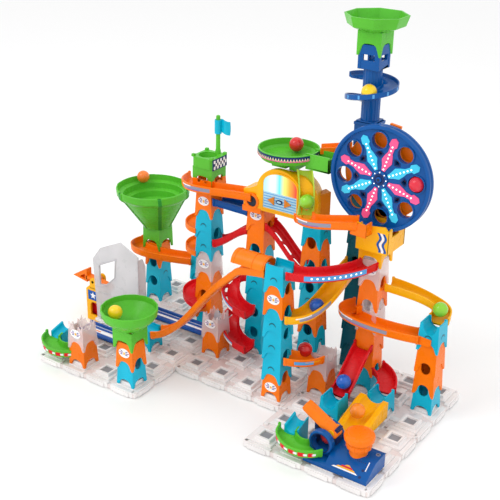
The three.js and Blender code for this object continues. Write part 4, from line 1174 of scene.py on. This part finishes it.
def wheel_housing():
    shape = Shape()
    x0, x1 = at_x(5.62), at_x(6.62)
    y0, y1, z0, z1, deck = 15.4, 54.8, 180.5, 211, 198
    wall = 2
    front = front_at(x0, y0, z0)
    wide = x1 - x0
    panel(shape, [(0, 0), (wide, 0), (wide, 25), (wide - 4, 30.2), (9, 27), (0, 29)], wall, front)
    panel(shape, rect(0, 0, wide, 30), wall, front_at(x0, y1 - wall, z0))
    for x in (x0, x1 - wall):
        side = right_at(x + wall, 0, z0)
        panel(shape, [(y0 + 0.4, 0), (y1 - 0.4, 0), (y1 - 0.4, z1 - z0 - 0.4), (39.8, z1 - z0 - 0.4),
                      (39.8, deck - z0), (24.8, deck - z0), (24.8, z1 - z0 - 4), (y0 + 0.4, z1 - z0 - 6)],
              wall, side)
    cx, cy = at_x(6), at_y(2)
    panel(shape, rect(x0 + 0.4, y0 + 0.4, x1 - 0.4, y1 - 0.4), wall, top_at(0, 0, z0 + wall),
          holes=[circle(cx, cy, 8.6, 28)])
    sleeve(shape, (cx, cy), 160.6, z0 + 1, 13.3, 11)
    brick(shape, (WHEEL.x - 8, 39.9, z0), (WHEEL.x + 8, 43.5, WHEEL.z - 20))
    axle = (WHEEL.x, 0, WHEEL.z)
    lathe(shape, [(0, 41), (6, 40.4), (7.5, 39.9), (45, 39.9), (45, 43.5), (0, 43.5)], axle, 72, slot=5,
          axis="y")
    for n in range(8):
        outer, inner = (ring_hole(n, radius, HOLE_RING - 4) for radius in (8.4, 7.2))
        panel(shape, outer, 0.5, front_at(WHEEL.x, 39.75, WHEEL.z), holes=[inner], slot=6)
    tab = turned_about(rect(44, -6, 55.5, 6), 82)
    panel(shape, tab, 3.6, front_at(WHEEL.x, 39.9, WHEEL.z), slot=5)
    lathe(shape, [(0, 26.2), (2.2, 26.2), (2.9, 26.8), (2.9, 41), (0, 41)], axle, 24, slot=3, axis="y")
    # a dark disc of painted shade at the hollow front end of the axle pin
    lathe(shape, rect(0, 26, 1.6, 26.4), axle, 20, slot=2, axis="y")
    screw(shape, front_at(x0 + 7, y0 - 0.3, z0 + 17), 1)
    ribbon = front_at(x0, y0 - 0.25, z0)
    for k, slot in ((0, 3), (1, 4), (2, 3)):
        u = wide - 11 + 3 * k
        wave = [(u + 1.4 * math.sin(0.45 * v), v) for v in range(2, 24)]
        panel(shape, wave + [(p + 2.6, v) for p, v in reversed(wave)], 0.4, ribbon, slot=slot)
    mould("wheel_housing", shape, [YELLOW, STEEL, HOLLOW_SHADE, BLUE, WHITE, ORANGE, BROWN], bevel=0.5)


wheel_housing()


# --- spiral tower

SPIRAL = Vector((at_x(5), at_y(3), 0))
SPIRAL_CORE, SPIRAL_WINDING, SPIRAL_HALF_WIDTH = 9.8, 18.4, 9
SPIRAL_TURNS, SPIRAL_START = 1.15, 341


def winding(t):
    """The trough's direction from the column and its height, a share t of the way down."""
    turn = SPIRAL_TURNS * t
    angle = math.pi * (1 - 2 * turn)
    return Vector((math.cos(angle), math.sin(angle), 0)), SPIRAL_START - 9.5 * turn - 13 * turn * turn


def spiral_tower():
    shape = Shape()
    z_foot, z_column, z_head, top = at_z(10) + 0.4, at_z(11), at_z(13.1), 386
    sleeve(shape, (SPIRAL.x, SPIRAL.y), z_foot, z_column, 11.7, 17, skin=1.6)
    corner = Vector((12.2, 12.2, 0))
    brick(shape, SPIRAL - corner + UP * (z_column - 3), SPIRAL + corner + UP * z_column)
    panel(shape, rect(-10.5, -10.5, 10.5, 10.5), 1.6, top_at(SPIRAL.x, SPIRAL.y, z_column + 1.6),
          [rect(-7.5, -7.5, 7.5, 7.5)])
    ribs = [(SPIRAL_CORE * (1 if k % 2 else 0.94), a) for k, a in enumerate(range(0, 360, 10))]
    flutes = [(r * math.cos(math.radians(a)), r * math.sin(math.radians(a))) for r, a in ribs]
    panel(shape, flutes, z_head - z_column + 2, top_at(SPIRAL.x, SPIRAL.y, z_head + 1))
    half, thick, rail = SPIRAL_HALF_WIDTH, 1.6, 5
    section = [(-half, -0.4), (-half, rail), (-half + 1.3, rail), (-half + 2.2, 1.6), (-half + 4.5, 0.3),
               (0, -0.2), (half - 4.5, 0.3), (half - 2.2, 1.6), (half - 1.3, rail), (half, rail),
               (half, -0.4), (half - 3, -thick), (-half + 3, -thick)]
    stations = []
    for n in range(61):
        out, z = winding(n / 60)
        stations.append((SPIRAL + out * SPIRAL_WINDING + UP * z, out, UP))
    sweep(shape, section, stations)
    for n in range(13):
        out, z = winding((n + 0.5) / 13)
        origin = SPIRAL + out * (SPIRAL_WINDING + half + 0.1) + UP * (z + 1.6)
        panel(shape, rect(-1.1, -1.5, 1.1, 2.4), 0.5, facing(origin, (-out.y, out.x, 0), out), slot=1)
    h = HALF
    panel(shape, rect(-h, -h, h, h), 8, top_at(SPIRAL.x, SPIRAL.y, top), holes=[circle(0, 0, 9, 28)])
    panel(shape, rect(-h, -h, h, h), 4, top_at(SPIRAL.x, SPIRAL.y, z_head + 4))
    window = [(-6.5, 9), (6.5, 9), (6.5, 16), (5, 19), (2.5, 20.5), (-2.5, 20.5), (-5, 19), (-6.5, 16)]
    head = SPIRAL + UP * z_head
    for right, out in (FACES["front"], FACES["back"], FACES["right"]):
        panel(shape, rect(-h, 0, h, top - z_head - 2), 2.4, facing(head + out * h, right, out),
              holes=[window])
        panel(shape, [(-h - 0.3, 0), (-h + 3, 0), (-h + 3, 15), (h - 3, 15), (h - 3, 0), (h + 0.3, 0),
                      (h + 0.3, 25), (-h - 0.3, 25)], 1, facing(head + out * (h + 0.45), right, out))
    for y in (-h, h - 3.6):
        brick(shape, (SPIRAL.x - h, SPIRAL.y + y, z_head), (SPIRAL.x - h + 2.4, SPIRAL.y + y + 3.6, top - 6))
    mould("spiral_tower", shape, [WHEEL_BLUE, SKY], bevel=0.4, smooth=30)


spiral_tower()


# --- front launcher

BARREL = Vector((at_x(6.74), 0, 27.5))
BUTTON = Vector((at_x(7.72), at_y(-1.66), 0))
LEVER = Vector((at_x(6.94), at_y(-1.625), 37))
LEVER_TILT = 30


def launcher_base():
    shape = Shape()
    left, right, foot, top = 140.2, 210.4, 8.4, 24
    front, back = -120.4, -82.3
    # sloping front, with a low step at the left of it
    ridge = at_y(-1.83)
    sides = {(164, right): [(front, foot), (back, foot), (back, top), (ridge, top), (front, foot + 4)],
             (left, 164): [(front, foot), (-107.6, foot), (-107.6, 14), (front + 2.6, 14), (front, foot + 4)]}
    for (x0, x1), rows in sides.items():
        lines = [[(x, y, z) for y, z in rows] for x in (x0, x1)]
        n = len(rows)
        shape.add(lines[0] + lines[1], between(2, n) + closed_ends(2 * n, n))
    brick(shape, (left, -107.7, foot), (BARREL.x - 9.8, back, top - 4))
    brick(shape, (left, ridge, foot), (BARREL.x - 9.8, back, top))
    brick(shape, (BARREL.x - 10, -107.7, foot), (164.2, back, BARREL.z - 9.4))
    brick(shape, (BARREL.x + 9.8, -107.7, foot), (164.2, back, top - 4))
    for lo, hi in ((-109.7, -102.7), (-86.3, -82.9)):
        lathe(shape, [(9.7, lo), (12, lo), (13, lo + 1), (13, hi - 0.8), (12.2, hi), (9.7, hi), (9.7, lo)],
              (BARREL.x, 0, BARREL.z), 40, axis="y")
    lathe(shape, hoop(9.8, -109.9, 10.8, -109.5),
          (BARREL.x, 0, BARREL.z), 40, slot=5, axis="y")
    for x in (BARREL.x - 12.8, BARREL.x + 9.6):    # the lever's two hinge plates
        brick(shape, (x, -99, 18), (x + 3.2, -88.5, 41), 5)
        lathe(shape, rect(0, x - 0.3, 3.2, x + 3.5), (0, -93.6, 37), 20, slot=5,
              axis="x")
    # printed sweep on the slope, screws and a row of vent holes
    run, fall = ridge - front, top - foot - 4
    out = Vector((0, -fall, run)).normalized()
    slope = facing(Vector((0, front, foot + 4)) + out * 0.15, (1, 0, 0), out)
    for k, slot in enumerate((2, 1, 3, 1)):
        u0, u1, v = 171 + 4 * k, 199 - 3 * k, 3 + 1.7 * k
        panel(shape, [(u0, v), (u1, v), (u1 - 2, v + 1.5), (u0 + 2, v + 1.5)], 0.3, slope, slot=slot)
    panel(shape, rect(204, 10, 205, 20), 0.3, slope, slot=2)
    for u, v in ((202, 2.6), (202, 10)):
        panel(shape, circle(u, v, 1.5, 16), 0.3, slope, slot=5)
    for n in range(6):
        panel(shape, circle(190 + 2.2 * n, 17.5, 0.6, 10), 0.3, slope, slot=5)
    screw(shape, top_at(206, -89, top + 0.2), 4, 2.3)
    make("launcher_moulding", shape, [WHEEL_BLUE, YELLOW, WHITE, RED, STEEL, NAVY],
         replaces=["launcher_base"], bevel=0.6)


def launch_button():
    shape = Shape()
    lathe(shape, [(0, 17.6), (9.3, 17.6), (9.3, 30.7), (12.2, 30.7), (12.4, 36), (15, 39.4), (15.4, 43),
                  (14.6, 45), (12, 46), (6, 46.35), (0, 46.4)], BUTTON, 48)
    for n in range(12):
        out, side = compass(30 * n)
        place = facing(BUTTON + out * 12.75 + UP * 33.6, side, out)
        panel(shape, [(-1.5, -2.6), (1.5, -2.6), (1.9, 2.4), (-1.9, 2.4)], 1, place)
    for r in (10.8, 5.4):
        lathe(shape, [(r, 46), (r + 0.5, 46.5), (r + 1.1, 46.0)], BUTTON, 40)
    mould("launch_button", shape, [ORANGE], body="button", bevel=0.3, smooth=30)


def launch_lever():
    shape = Shape()
    turn = Matrix.Rotation(math.radians(LEVER_TILT), 4, "Y")

    def place(p):
        return LEVER + turn @ Vector((-p.x, p.y, p.z))
    # half-round gutter: u across, and x running towards the free end
    outer = arc(0, -2.4, 7.5, 165, 15, 14)
    section = [(-7.5, -3.8), (-7.5, -1)] + outer + [(7.5, -1), (7.5, -3.8)]
    section = [(u, max(min(v, 3.7), -3.8)) for u, v in section]
    lines = []
    for x, scale in ((-6.6, 0.72), (-4.5, 0.95), (0, 1), (28, 1), (35, 0.98), (37.8, 0.86)):
        lines.append([place(Vector((x, u * scale, v * scale))) for u, v in section])
    n = len(section)
    verts = [p for line in lines for p in line]
    shape.add(verts, between(len(lines), n) + closed_ends(len(verts), n))
    for x in (8, 12, 16):
        ring = [place(Vector((x + w, u * 1.015, v * 1.04))) for w in (0, 1.2) for u, v in section]
        shape.add(ring, between(2, n) + closed_ends(2 * n, n))
    for y in (-7.2, 6.2):
        lathe(shape, rect(0, y, 3.4, y + 1), LEVER, 24, slot=1, axis="y")
    lathe(shape, [(0, -7.2), (2.6, -7.2), (5.6, -5.8), (6.2, -3.6), (6.2, -3), (0, -3)], (0, 0, 0), 28,
          slot=1, axis="x", stretch=lambda p: place(Vector((p.x + 0.4, p.y, p.z * 0.6))))
    mould("launch_lever", shape, [AMBER, YELLOW], body="lever", bevel=0.5, smooth=38)


def scoop():
    shape = Shape()
    x0, x1, y0, y1 = at_x(6.52), at_x(7.44), at_y(-1.12), at_y(0.62)
    rims = [(y0, 19.8), (y0 + 13, 21), (y1 - 9, 32.6), (y1, 33)]
    count = 14
    rows = []
    for n in range(17):
        y = y0 + (y1 - y0) * n / 16
        low = next(k for k in range(3) if y <= rims[k + 1][0] + 1e-6)
        f = (y - rims[low][0]) / (rims[low + 1][0] - rims[low][0])
        rim = rims[low][1] + (rims[low + 1][1] - rims[low][1]) * f
        g = (y - y0) / (y1 - y0)
        mid, centre = (x0 + x1) / 2 + 0.6 * g, 23.5 + 13.5 * g
        row = [(x0 + 0.2, y, 14.4), (x0 + 0.2, y, rim)]
        for k in range(count + 1):
            t = math.pi * (1 + k / count)
            row.append((mid + 10.4 * math.cos(t), y, min(rim, centre + 10.4 * math.sin(t))))
        rows.append(row + [(x1 - 0.2, y, rim), (x1 - 0.2, y, 14.4)])
    n = len(rows[0])
    for a, b in zip(rows, rows[1:]):
        shape.add(a + b, [[k, k + 1, n + k + 1, n + k] for k in range(n - 1)])
    for row in (rows[0], rows[-1]):
        shape.add(row, filled([(x, z) for x, _, z in row]))
    brick(shape, (x0 + 0.2, y0 + 0.2, 14.1), (x1 - 0.2, y0 + 10, 16))
    brick(shape, (x0 + 0.2, y1 - 4, 14.1), (x1 - 0.2, y1 - 0.2, 16))
    side = right_at(x1 + 0.1, y0, 14)
    for n in range(7):
        u = 8 + 7 * n
        height = 3 + 1.6 * n
        panel(shape, rect(u, 3, u + 4.6, 3 + height), 0.7, side)
    rim_rail = Shape()
    for x in (x0 + 1.6, x1 - 1.6):
        line = ((y0 + 0.8, 19.9), (y0 + 13, 21), (y1 - 9, 32.2), (y1 - 0.8, 32.4))
        tube(rim_rail, [Vector((x, y, z)) for y, z in line], 0.9, 10)
    for n in range(4):
        y = y0 + 12 + 11 * n
        brick(shape, (x0 + 1.2, y, 19.4 + 2.6 * n), (x0 + 4.6, y + 1, 21.8 + 2.6 * n))
    mould("scoop", shape, [YELLOW], bevel=0.3, smooth=40)
    make("scoop_rims", rim_rail, [YELLOW], bevel=0)


launcher_base()
launch_button()
launch_lever()
scoop()


# --- left end

def catch_screen():
    shape = Shape()
    outline = [(-3.58, 0.1), (-3.66, 2.3), (-3.3, 2.78), (-2.42, 3.2), (-1.66, 2.86), (-1.66, 0.1)]
    window = [(-3.36, 1.42), (-3.1, 1.48), (-2.72, 1.84), (-2.66, 2.48), (-3.36, 2.12)]
    outline, window = ([(at_x(i), DECK + rise * PITCH) for i, rise in line] for line in (outline, window))
    y = at_y(0.35)
    sheet = front_at(0, y + 0.1, 0)
    panel(shape, outline, 1.8, sheet, holes=[window])
    mid = (at_x(-3.04), DECK + 1.86 * PITCH)
    grown = [(mid[0] + (u - mid[0]) * 1.16, mid[1] + (v - mid[1]) * 1.16) for u, v in window]
    panel(shape, grown, 0.8, front_at(0, y - 0.6, 0), holes=[window])
    side = right_at(at_x(-1.66) - 0.1, 0, 0)
    panel(shape, [(y, DECK + 0.4), (y + 13.8, DECK + 0.4), (y + 13.8, at_z(3.3)), (y + 9, at_z(3.72)),
                  (y, at_z(3.72))], 1.8, side)
    brick(shape, (at_x(-3.58), y - 3.8, DECK + 0.4), (at_x(-1.66), y + 3.8, DECK + 3.8), 1)
    for i in (-3.4, -2.4, -1.9):
        brick(shape, (at_x(i), y - 2.4, DECK + 3), (at_x(i) + 2, y + 2.6, DECK + 22))
    for rise in (0.7, 1.1):
        z = DECK + rise * PITCH
        brick(shape, (at_x(-3.5), y - 0.5, z), (at_x(-1.8), y + 0.2, z + 1))
    mould("catch_screen", shape, [SMOKE, BASE_CLEAR], bevel=0.4)


TIPPER = Vector((at_x(-3.88), at_y(0.775), 54))


def tipper_stand():
    shape = Shape()
    left, right, top = at_x(-4.2) + 0.2, at_x(-3.56) - 0.2, 46
    front, back = at_y(0.5) + 0.2, at_y(1.05) - 0.2
    window = [(left + 6, 8), (right - 3, 8), (right - 3, 22), (right - 6, 26), (left + 9, 26), (left + 6, 22)]
    wall = [(left, 0.2), (right, 0.2), (right, top - 3), (right - 3, top), (left + 3, top), (left, top - 3)]
    for y, holes in ((front, [window]), (back - 2.4, [])):
        panel(shape, wall, 2.4, front_at(0, y, 0), holes)
    for x in (left, right - 2.4):
        brick(shape, (x, front + 2, 0.2), (x + 2.4, back - 2, top - 3.4))
    brick(shape, (left + 2, front + 2, top - 3.4), (right - 2, back - 2, top - 0.4))
    brick(shape, (left + 2.2, front + 7, 2), (right - 2.2, front + 8.6, 26), 1)
    cheek = [(TIPPER.x - 5, top - 1), (TIPPER.x + 5, top - 1)] + arc(TIPPER.x, TIPPER.z, 5, 0, 180, 14)
    for y in (front, back - 2.8):
        panel(shape, cheek, 2.8, front_at(0, y, 0))
    lathe(shape, rect(0, front, 2, back), (TIPPER.x, 0, TIPPER.z), 20, slot=2, axis="y")
    label = front_at(0, front - 0.2, 0)
    panel(shape, rect(left + 3, 29, right - 3, 42), 0.3, label, slot=3)
    panel(shape, star((left + right) / 2, 35.5, 5), 0.3, front_at(0, front - 0.35, 0), slot=4)
    mould("tipper_stand", shape, [YELLOW, RED, STEEL, BLUE, WHITE], bevel=0.5)


def tipper_lever():
    shape = Shape()
    place = front_at(TIPPER.x, TIPPER.y - 4.4, TIPPER.z)
    panel(shape, [(-37.6, -2), (-14.2, -5.8), (-14.2, 11.6), (-16.4, 11.2)], 8.8, place,
          holes=[[(-27, -1.4), (-17.4, -2.8), (-17.4, 4.6)]])
    panel(shape, [(-16, -2.8), (-3, -4), (24, -6.8), (24, -2.2), (-3, 2), (-16, 2.8)], 8.8, place,
          holes=[circle(0, 0, 2.4, 20)])
    ring = front_at(TIPPER.x, TIPPER.y - 4.5, TIPPER.z)
    panel(shape, circle(0, 0, 4.4, 28), 9, ring, holes=[circle(0, 0, 2.4, 20)])
    mould("tipper_lever", shape, [ORANGE], body="tipper", bevel=0.5)


catch_screen()
tipper_stand()
tipper_lever()


# --- marbles

def marble(name, place, colour, body):
    """A glazed ball. The two loose ones stand for parts of the CAD model."""
    material = plastic(name + "_glaze", colour, 0.12)
    material.node_tree.nodes["Principled BSDF"].inputs["Coat Weight"].default_value = 0.6
    shape = Shape()
    bands = 24
    profile = [(MARBLE * math.sin(math.pi * k / bands), -MARBLE * math.cos(math.pi * k / bands))
               for k in range(bands + 1)]
    profile[0], profile[-1] = (0, -MARBLE), (0, MARBLE)
    seam = [(r + (0.03 if k == bands // 2 else 0), h) for k, (r, h) in enumerate(profile)]
    lathe(shape, seam, place, 40)
    make(name + "_ball", shape, [material], body, [name] if "loose" in body else (), bevel=0, smooth=60)


SPOKE = math.radians(FIRST_HOLE)
for name, x, y, z, colour, body in (
        ("dish", DISH.x - 0.7, DISH.y + 16, DISH_FLOOR + MARBLE + 4, (0.72, 0.02, 0.02), "loose_marble_dish"),
        ("small_funnel", at_x(-0.33), at_y(-2.26), 95, (0.95, 0.62, 0.01), "loose_marble_funnel"),
        ("spiral", at_x(5.17), at_y(2.5), 333.5, (0.95, 0.62, 0.01), "frame"),
        ("dome", 53, 14.5, 217.5, (0.25, 0.62, 0.03), "frame"),
        ("big_funnel", at_x(-3) - 37, at_y(3) + 18, 160, (0.93, 0.2, 0.02), "frame"),
        ("wheel_right", WHEEL.x + HOLE_RING * math.cos(SPOKE), 31.2, WHEEL.z + HOLE_RING * math.sin(SPOKE),
         (0.80, 0.02, 0.05), "wheel"),
        ("launcher", BARREL.x, -92.5, BARREL.z - 1.5, (0.80, 0.03, 0.03), "frame"),
        ("scoop", at_x(6.93), at_y(-0.3), 33.5, (0.93, 0.25, 0.01), "frame"),
        ("yellow_curve", at_x(4.9), at_y(0.65), 117, (0.01, 0.12, 0.55), "frame"),
        ("red_ramp", at_x(6), at_y(0.52), 41, (0.01, 0.12, 0.55), "frame"),
        ("right_curve", at_x(7.95), at_y(2.5), 118.5, (0.25, 0.62, 0.03), "frame"),
        ("small_curve", at_x(4.6), at_y(0.6), 61.5, (0.55, 0.01, 0.01), "frame")):
    marble("marble_" + name, (x, y, z), colour, body)


# --- chutes, loops and collars

def chute(name, i, j, long, level, drop):
    """A teal block with a round channel that slopes down to a green curve."""
    shape = Shape()
    x, half = at_x(i), 8.6
    y0, y1 = at_y(j) - long / 2, at_y(j) + long / 2
    rows = []
    for y, low in ((y0, drop), (y1, 0)):
        z = at_z(level) - low
        groove = [(x + 6.6 * u, z + 6.6 * v) for u, v in arc(0, 0.3, 1, 180, 360, 10)]
        rows.append([(x - half, y, DECK + 0.6), (x - half, y, z + 3)] + [(u, y, v) for u, v in groove]
                    + [(x + half, y, z + 3), (x + half, y, DECK + 0.6)])
    n = len(rows[0])
    faces = between(2, n)
    for k, row in enumerate(rows):
        faces += [[c + k * n for c in t] for t in filled([(x, z) for x, _, z in row])]
    shape.add(rows[0] + rows[1], faces)
    make(name, shape, [TEAL], bevel=0.4)


chute("chute_left", -3.3, -1.62, 19, 0.86, 5)
chute("chute_front", 5.76, -1.68, 19, 0.92, 5)


def gutter(wall):
    """The section of a shallow gutter with upright walls."""
    width = 8
    return [(-width, 0), (-width, wall), (-width + 1.3, wall), (-width + 2.4, 2), (0, 1.2), (width - 2.4, 2),
            (width - 1.3, wall), (width, wall), (width, 0), (0, -0.8)]


def open_loop(name, curve, material):
    """A short curved gutter seen behind the towers."""
    shape = Shape()
    sweep(shape, gutter(6), span(curve, 0, 1, 26))
    make(name, shape, [material], bevel=0.3, smooth=40)


open_loop("loop_orange_high", bend((-0.3, 2.4, 5.3), LEFT, (-0.3, 1.86, 4.95), RIGHT, 0.6), ORANGE)
open_loop("loop_orange_low", bend((-0.3, 2.4, 4.2), LEFT, (-0.3, 1.86, 3.85), RIGHT, 0.6), ORANGE)
open_loop("loop_red_back", bend((-0.1, 2.25, 2.1), LEFT, (0.1, 1.5, 1.5), RIGHT, 0.95), RED)


def flag_collar():
    """The orange block that the flag curve starts from, with a notched rim."""
    shape = Shape()
    wide = SPREAD + 2.2
    outline = [(-wide, 0), (wide, 0), (wide, 15), (8.5, 15), (7.5, 11), (4, 11), (3, 13.5), (-3, 13.5),
               (-4, 11), (-7.5, 11), (-8.5, 15), (-wide, 15)]
    for face in FACES:
        place = wall_place((at_x(0), at_y(2)), at_z(7) + 0.5, face, 2.6)
        panel(shape, outline, SKIN, place, skip=corner_at(SPREAD))
    make("flag_collar", shape, [ORANGE], bevel=0.4)


flag_collar()


def end_caps():
    """The closed end of the orange curve at the wheel, and the right curve's hook on its tower."""
    shape = Shape()
    brick(shape, (112, 1.6, 200.6), (130, 15, 202.4))
    brick(shape, (112, 1.4, 200.6), (130, 3.2, 214))
    brick(shape, (128.2, 1.6, 200.6), (130, 15, 214))
    make("cap_orange_wheel", shape, [ORANGE], bevel=0.6)
    hook = Shape()
    panel(hook, [(-SPREAD - 0.6, 1.5), (2, 1.5), (4.5, 3.5), (4.5, 10), (-SPREAD - 0.6, 11)], 1.2,
          wall_place((at_x(8), at_y(2)), at_z(3), "front", 1.3))
    make("hook_orange_right", hook, [ORANGE], bevel=0.4)


end_caps()


def dish_gutter():
    """The orange gutter behind the wheel that leads towards the spout of the dish."""
    shape = Shape()
    ahead = Vector((-0.89, -0.44, -0.12)).normalized()
    side = Vector((-ahead.y, ahead.x, 0)).normalized()
    sweep(shape, gutter(7), [(Vector((74, 67, 264)) + ahead * reach, side, UP) for reach in (0, 11, 22, 33)])
    make("dish_gutter", shape, [ORANGE], bevel=0.3)


dish_gutter()


# --- floor, light and camera

def studio():
    bpy.ops.mesh.primitive_plane_add(size=6, location=(0, 0, -0.0005))
    floor = bpy.context.object
    floor.name = "floor"
    material, tree, shader = nodes_of("floor_paper")
    shader.inputs["Base Color"].default_value = (0.93, 0.93, 0.93, 1)
    shader.inputs["Roughness"].default_value = 0.9
    floor.data.materials.append(material)
    world = bpy.data.worlds.new("studio")
    world.use_nodes = True
    sky = world.node_tree.nodes["Background"]
    sky.inputs["Color"].default_value = (1, 1, 1, 1)
    sky.inputs["Strength"].default_value = 1.0
    bpy.context.scene.world = world
    for name, place, size, power in (("key", (-0.7, -1.1, 1.5), 1.0, 9), ("fill", (1.4, -0.5, 0.9), 1.2, 1.5),
                                     ("top", (0.1, 0.4, 1.6), 1.2, 2)):
        light = bpy.data.lights.new(name, "AREA")
        light.size = size
        light.energy = power
        lamp = placed(name, light)
        lamp.location = place
        lamp.rotation_euler = (Vector((0, 0, 0.15)) - Vector(place)).to_track_quat("-Z", "Y").to_euler()


CAMERA_PLACE = Vector((535.9, -806.1, 590.7)) * MM
CAMERA_TURN = (65.671, -0.972, 34.443)          # degrees about X, Y and Z
CAMERA_LENS = 70.354


def camera():
    eye = bpy.data.cameras.new("photo_camera")
    eye.lens = CAMERA_LENS
    eye.sensor_width = 36
    holder = placed("photo_camera", eye)
    holder.location = CAMERA_PLACE
    holder.rotation_euler = [math.radians(a) for a in CAMERA_TURN]
    bpy.context.scene.camera = holder


studio()
camera()
bpy.context.scene.view_settings.view_transform = "Standard"
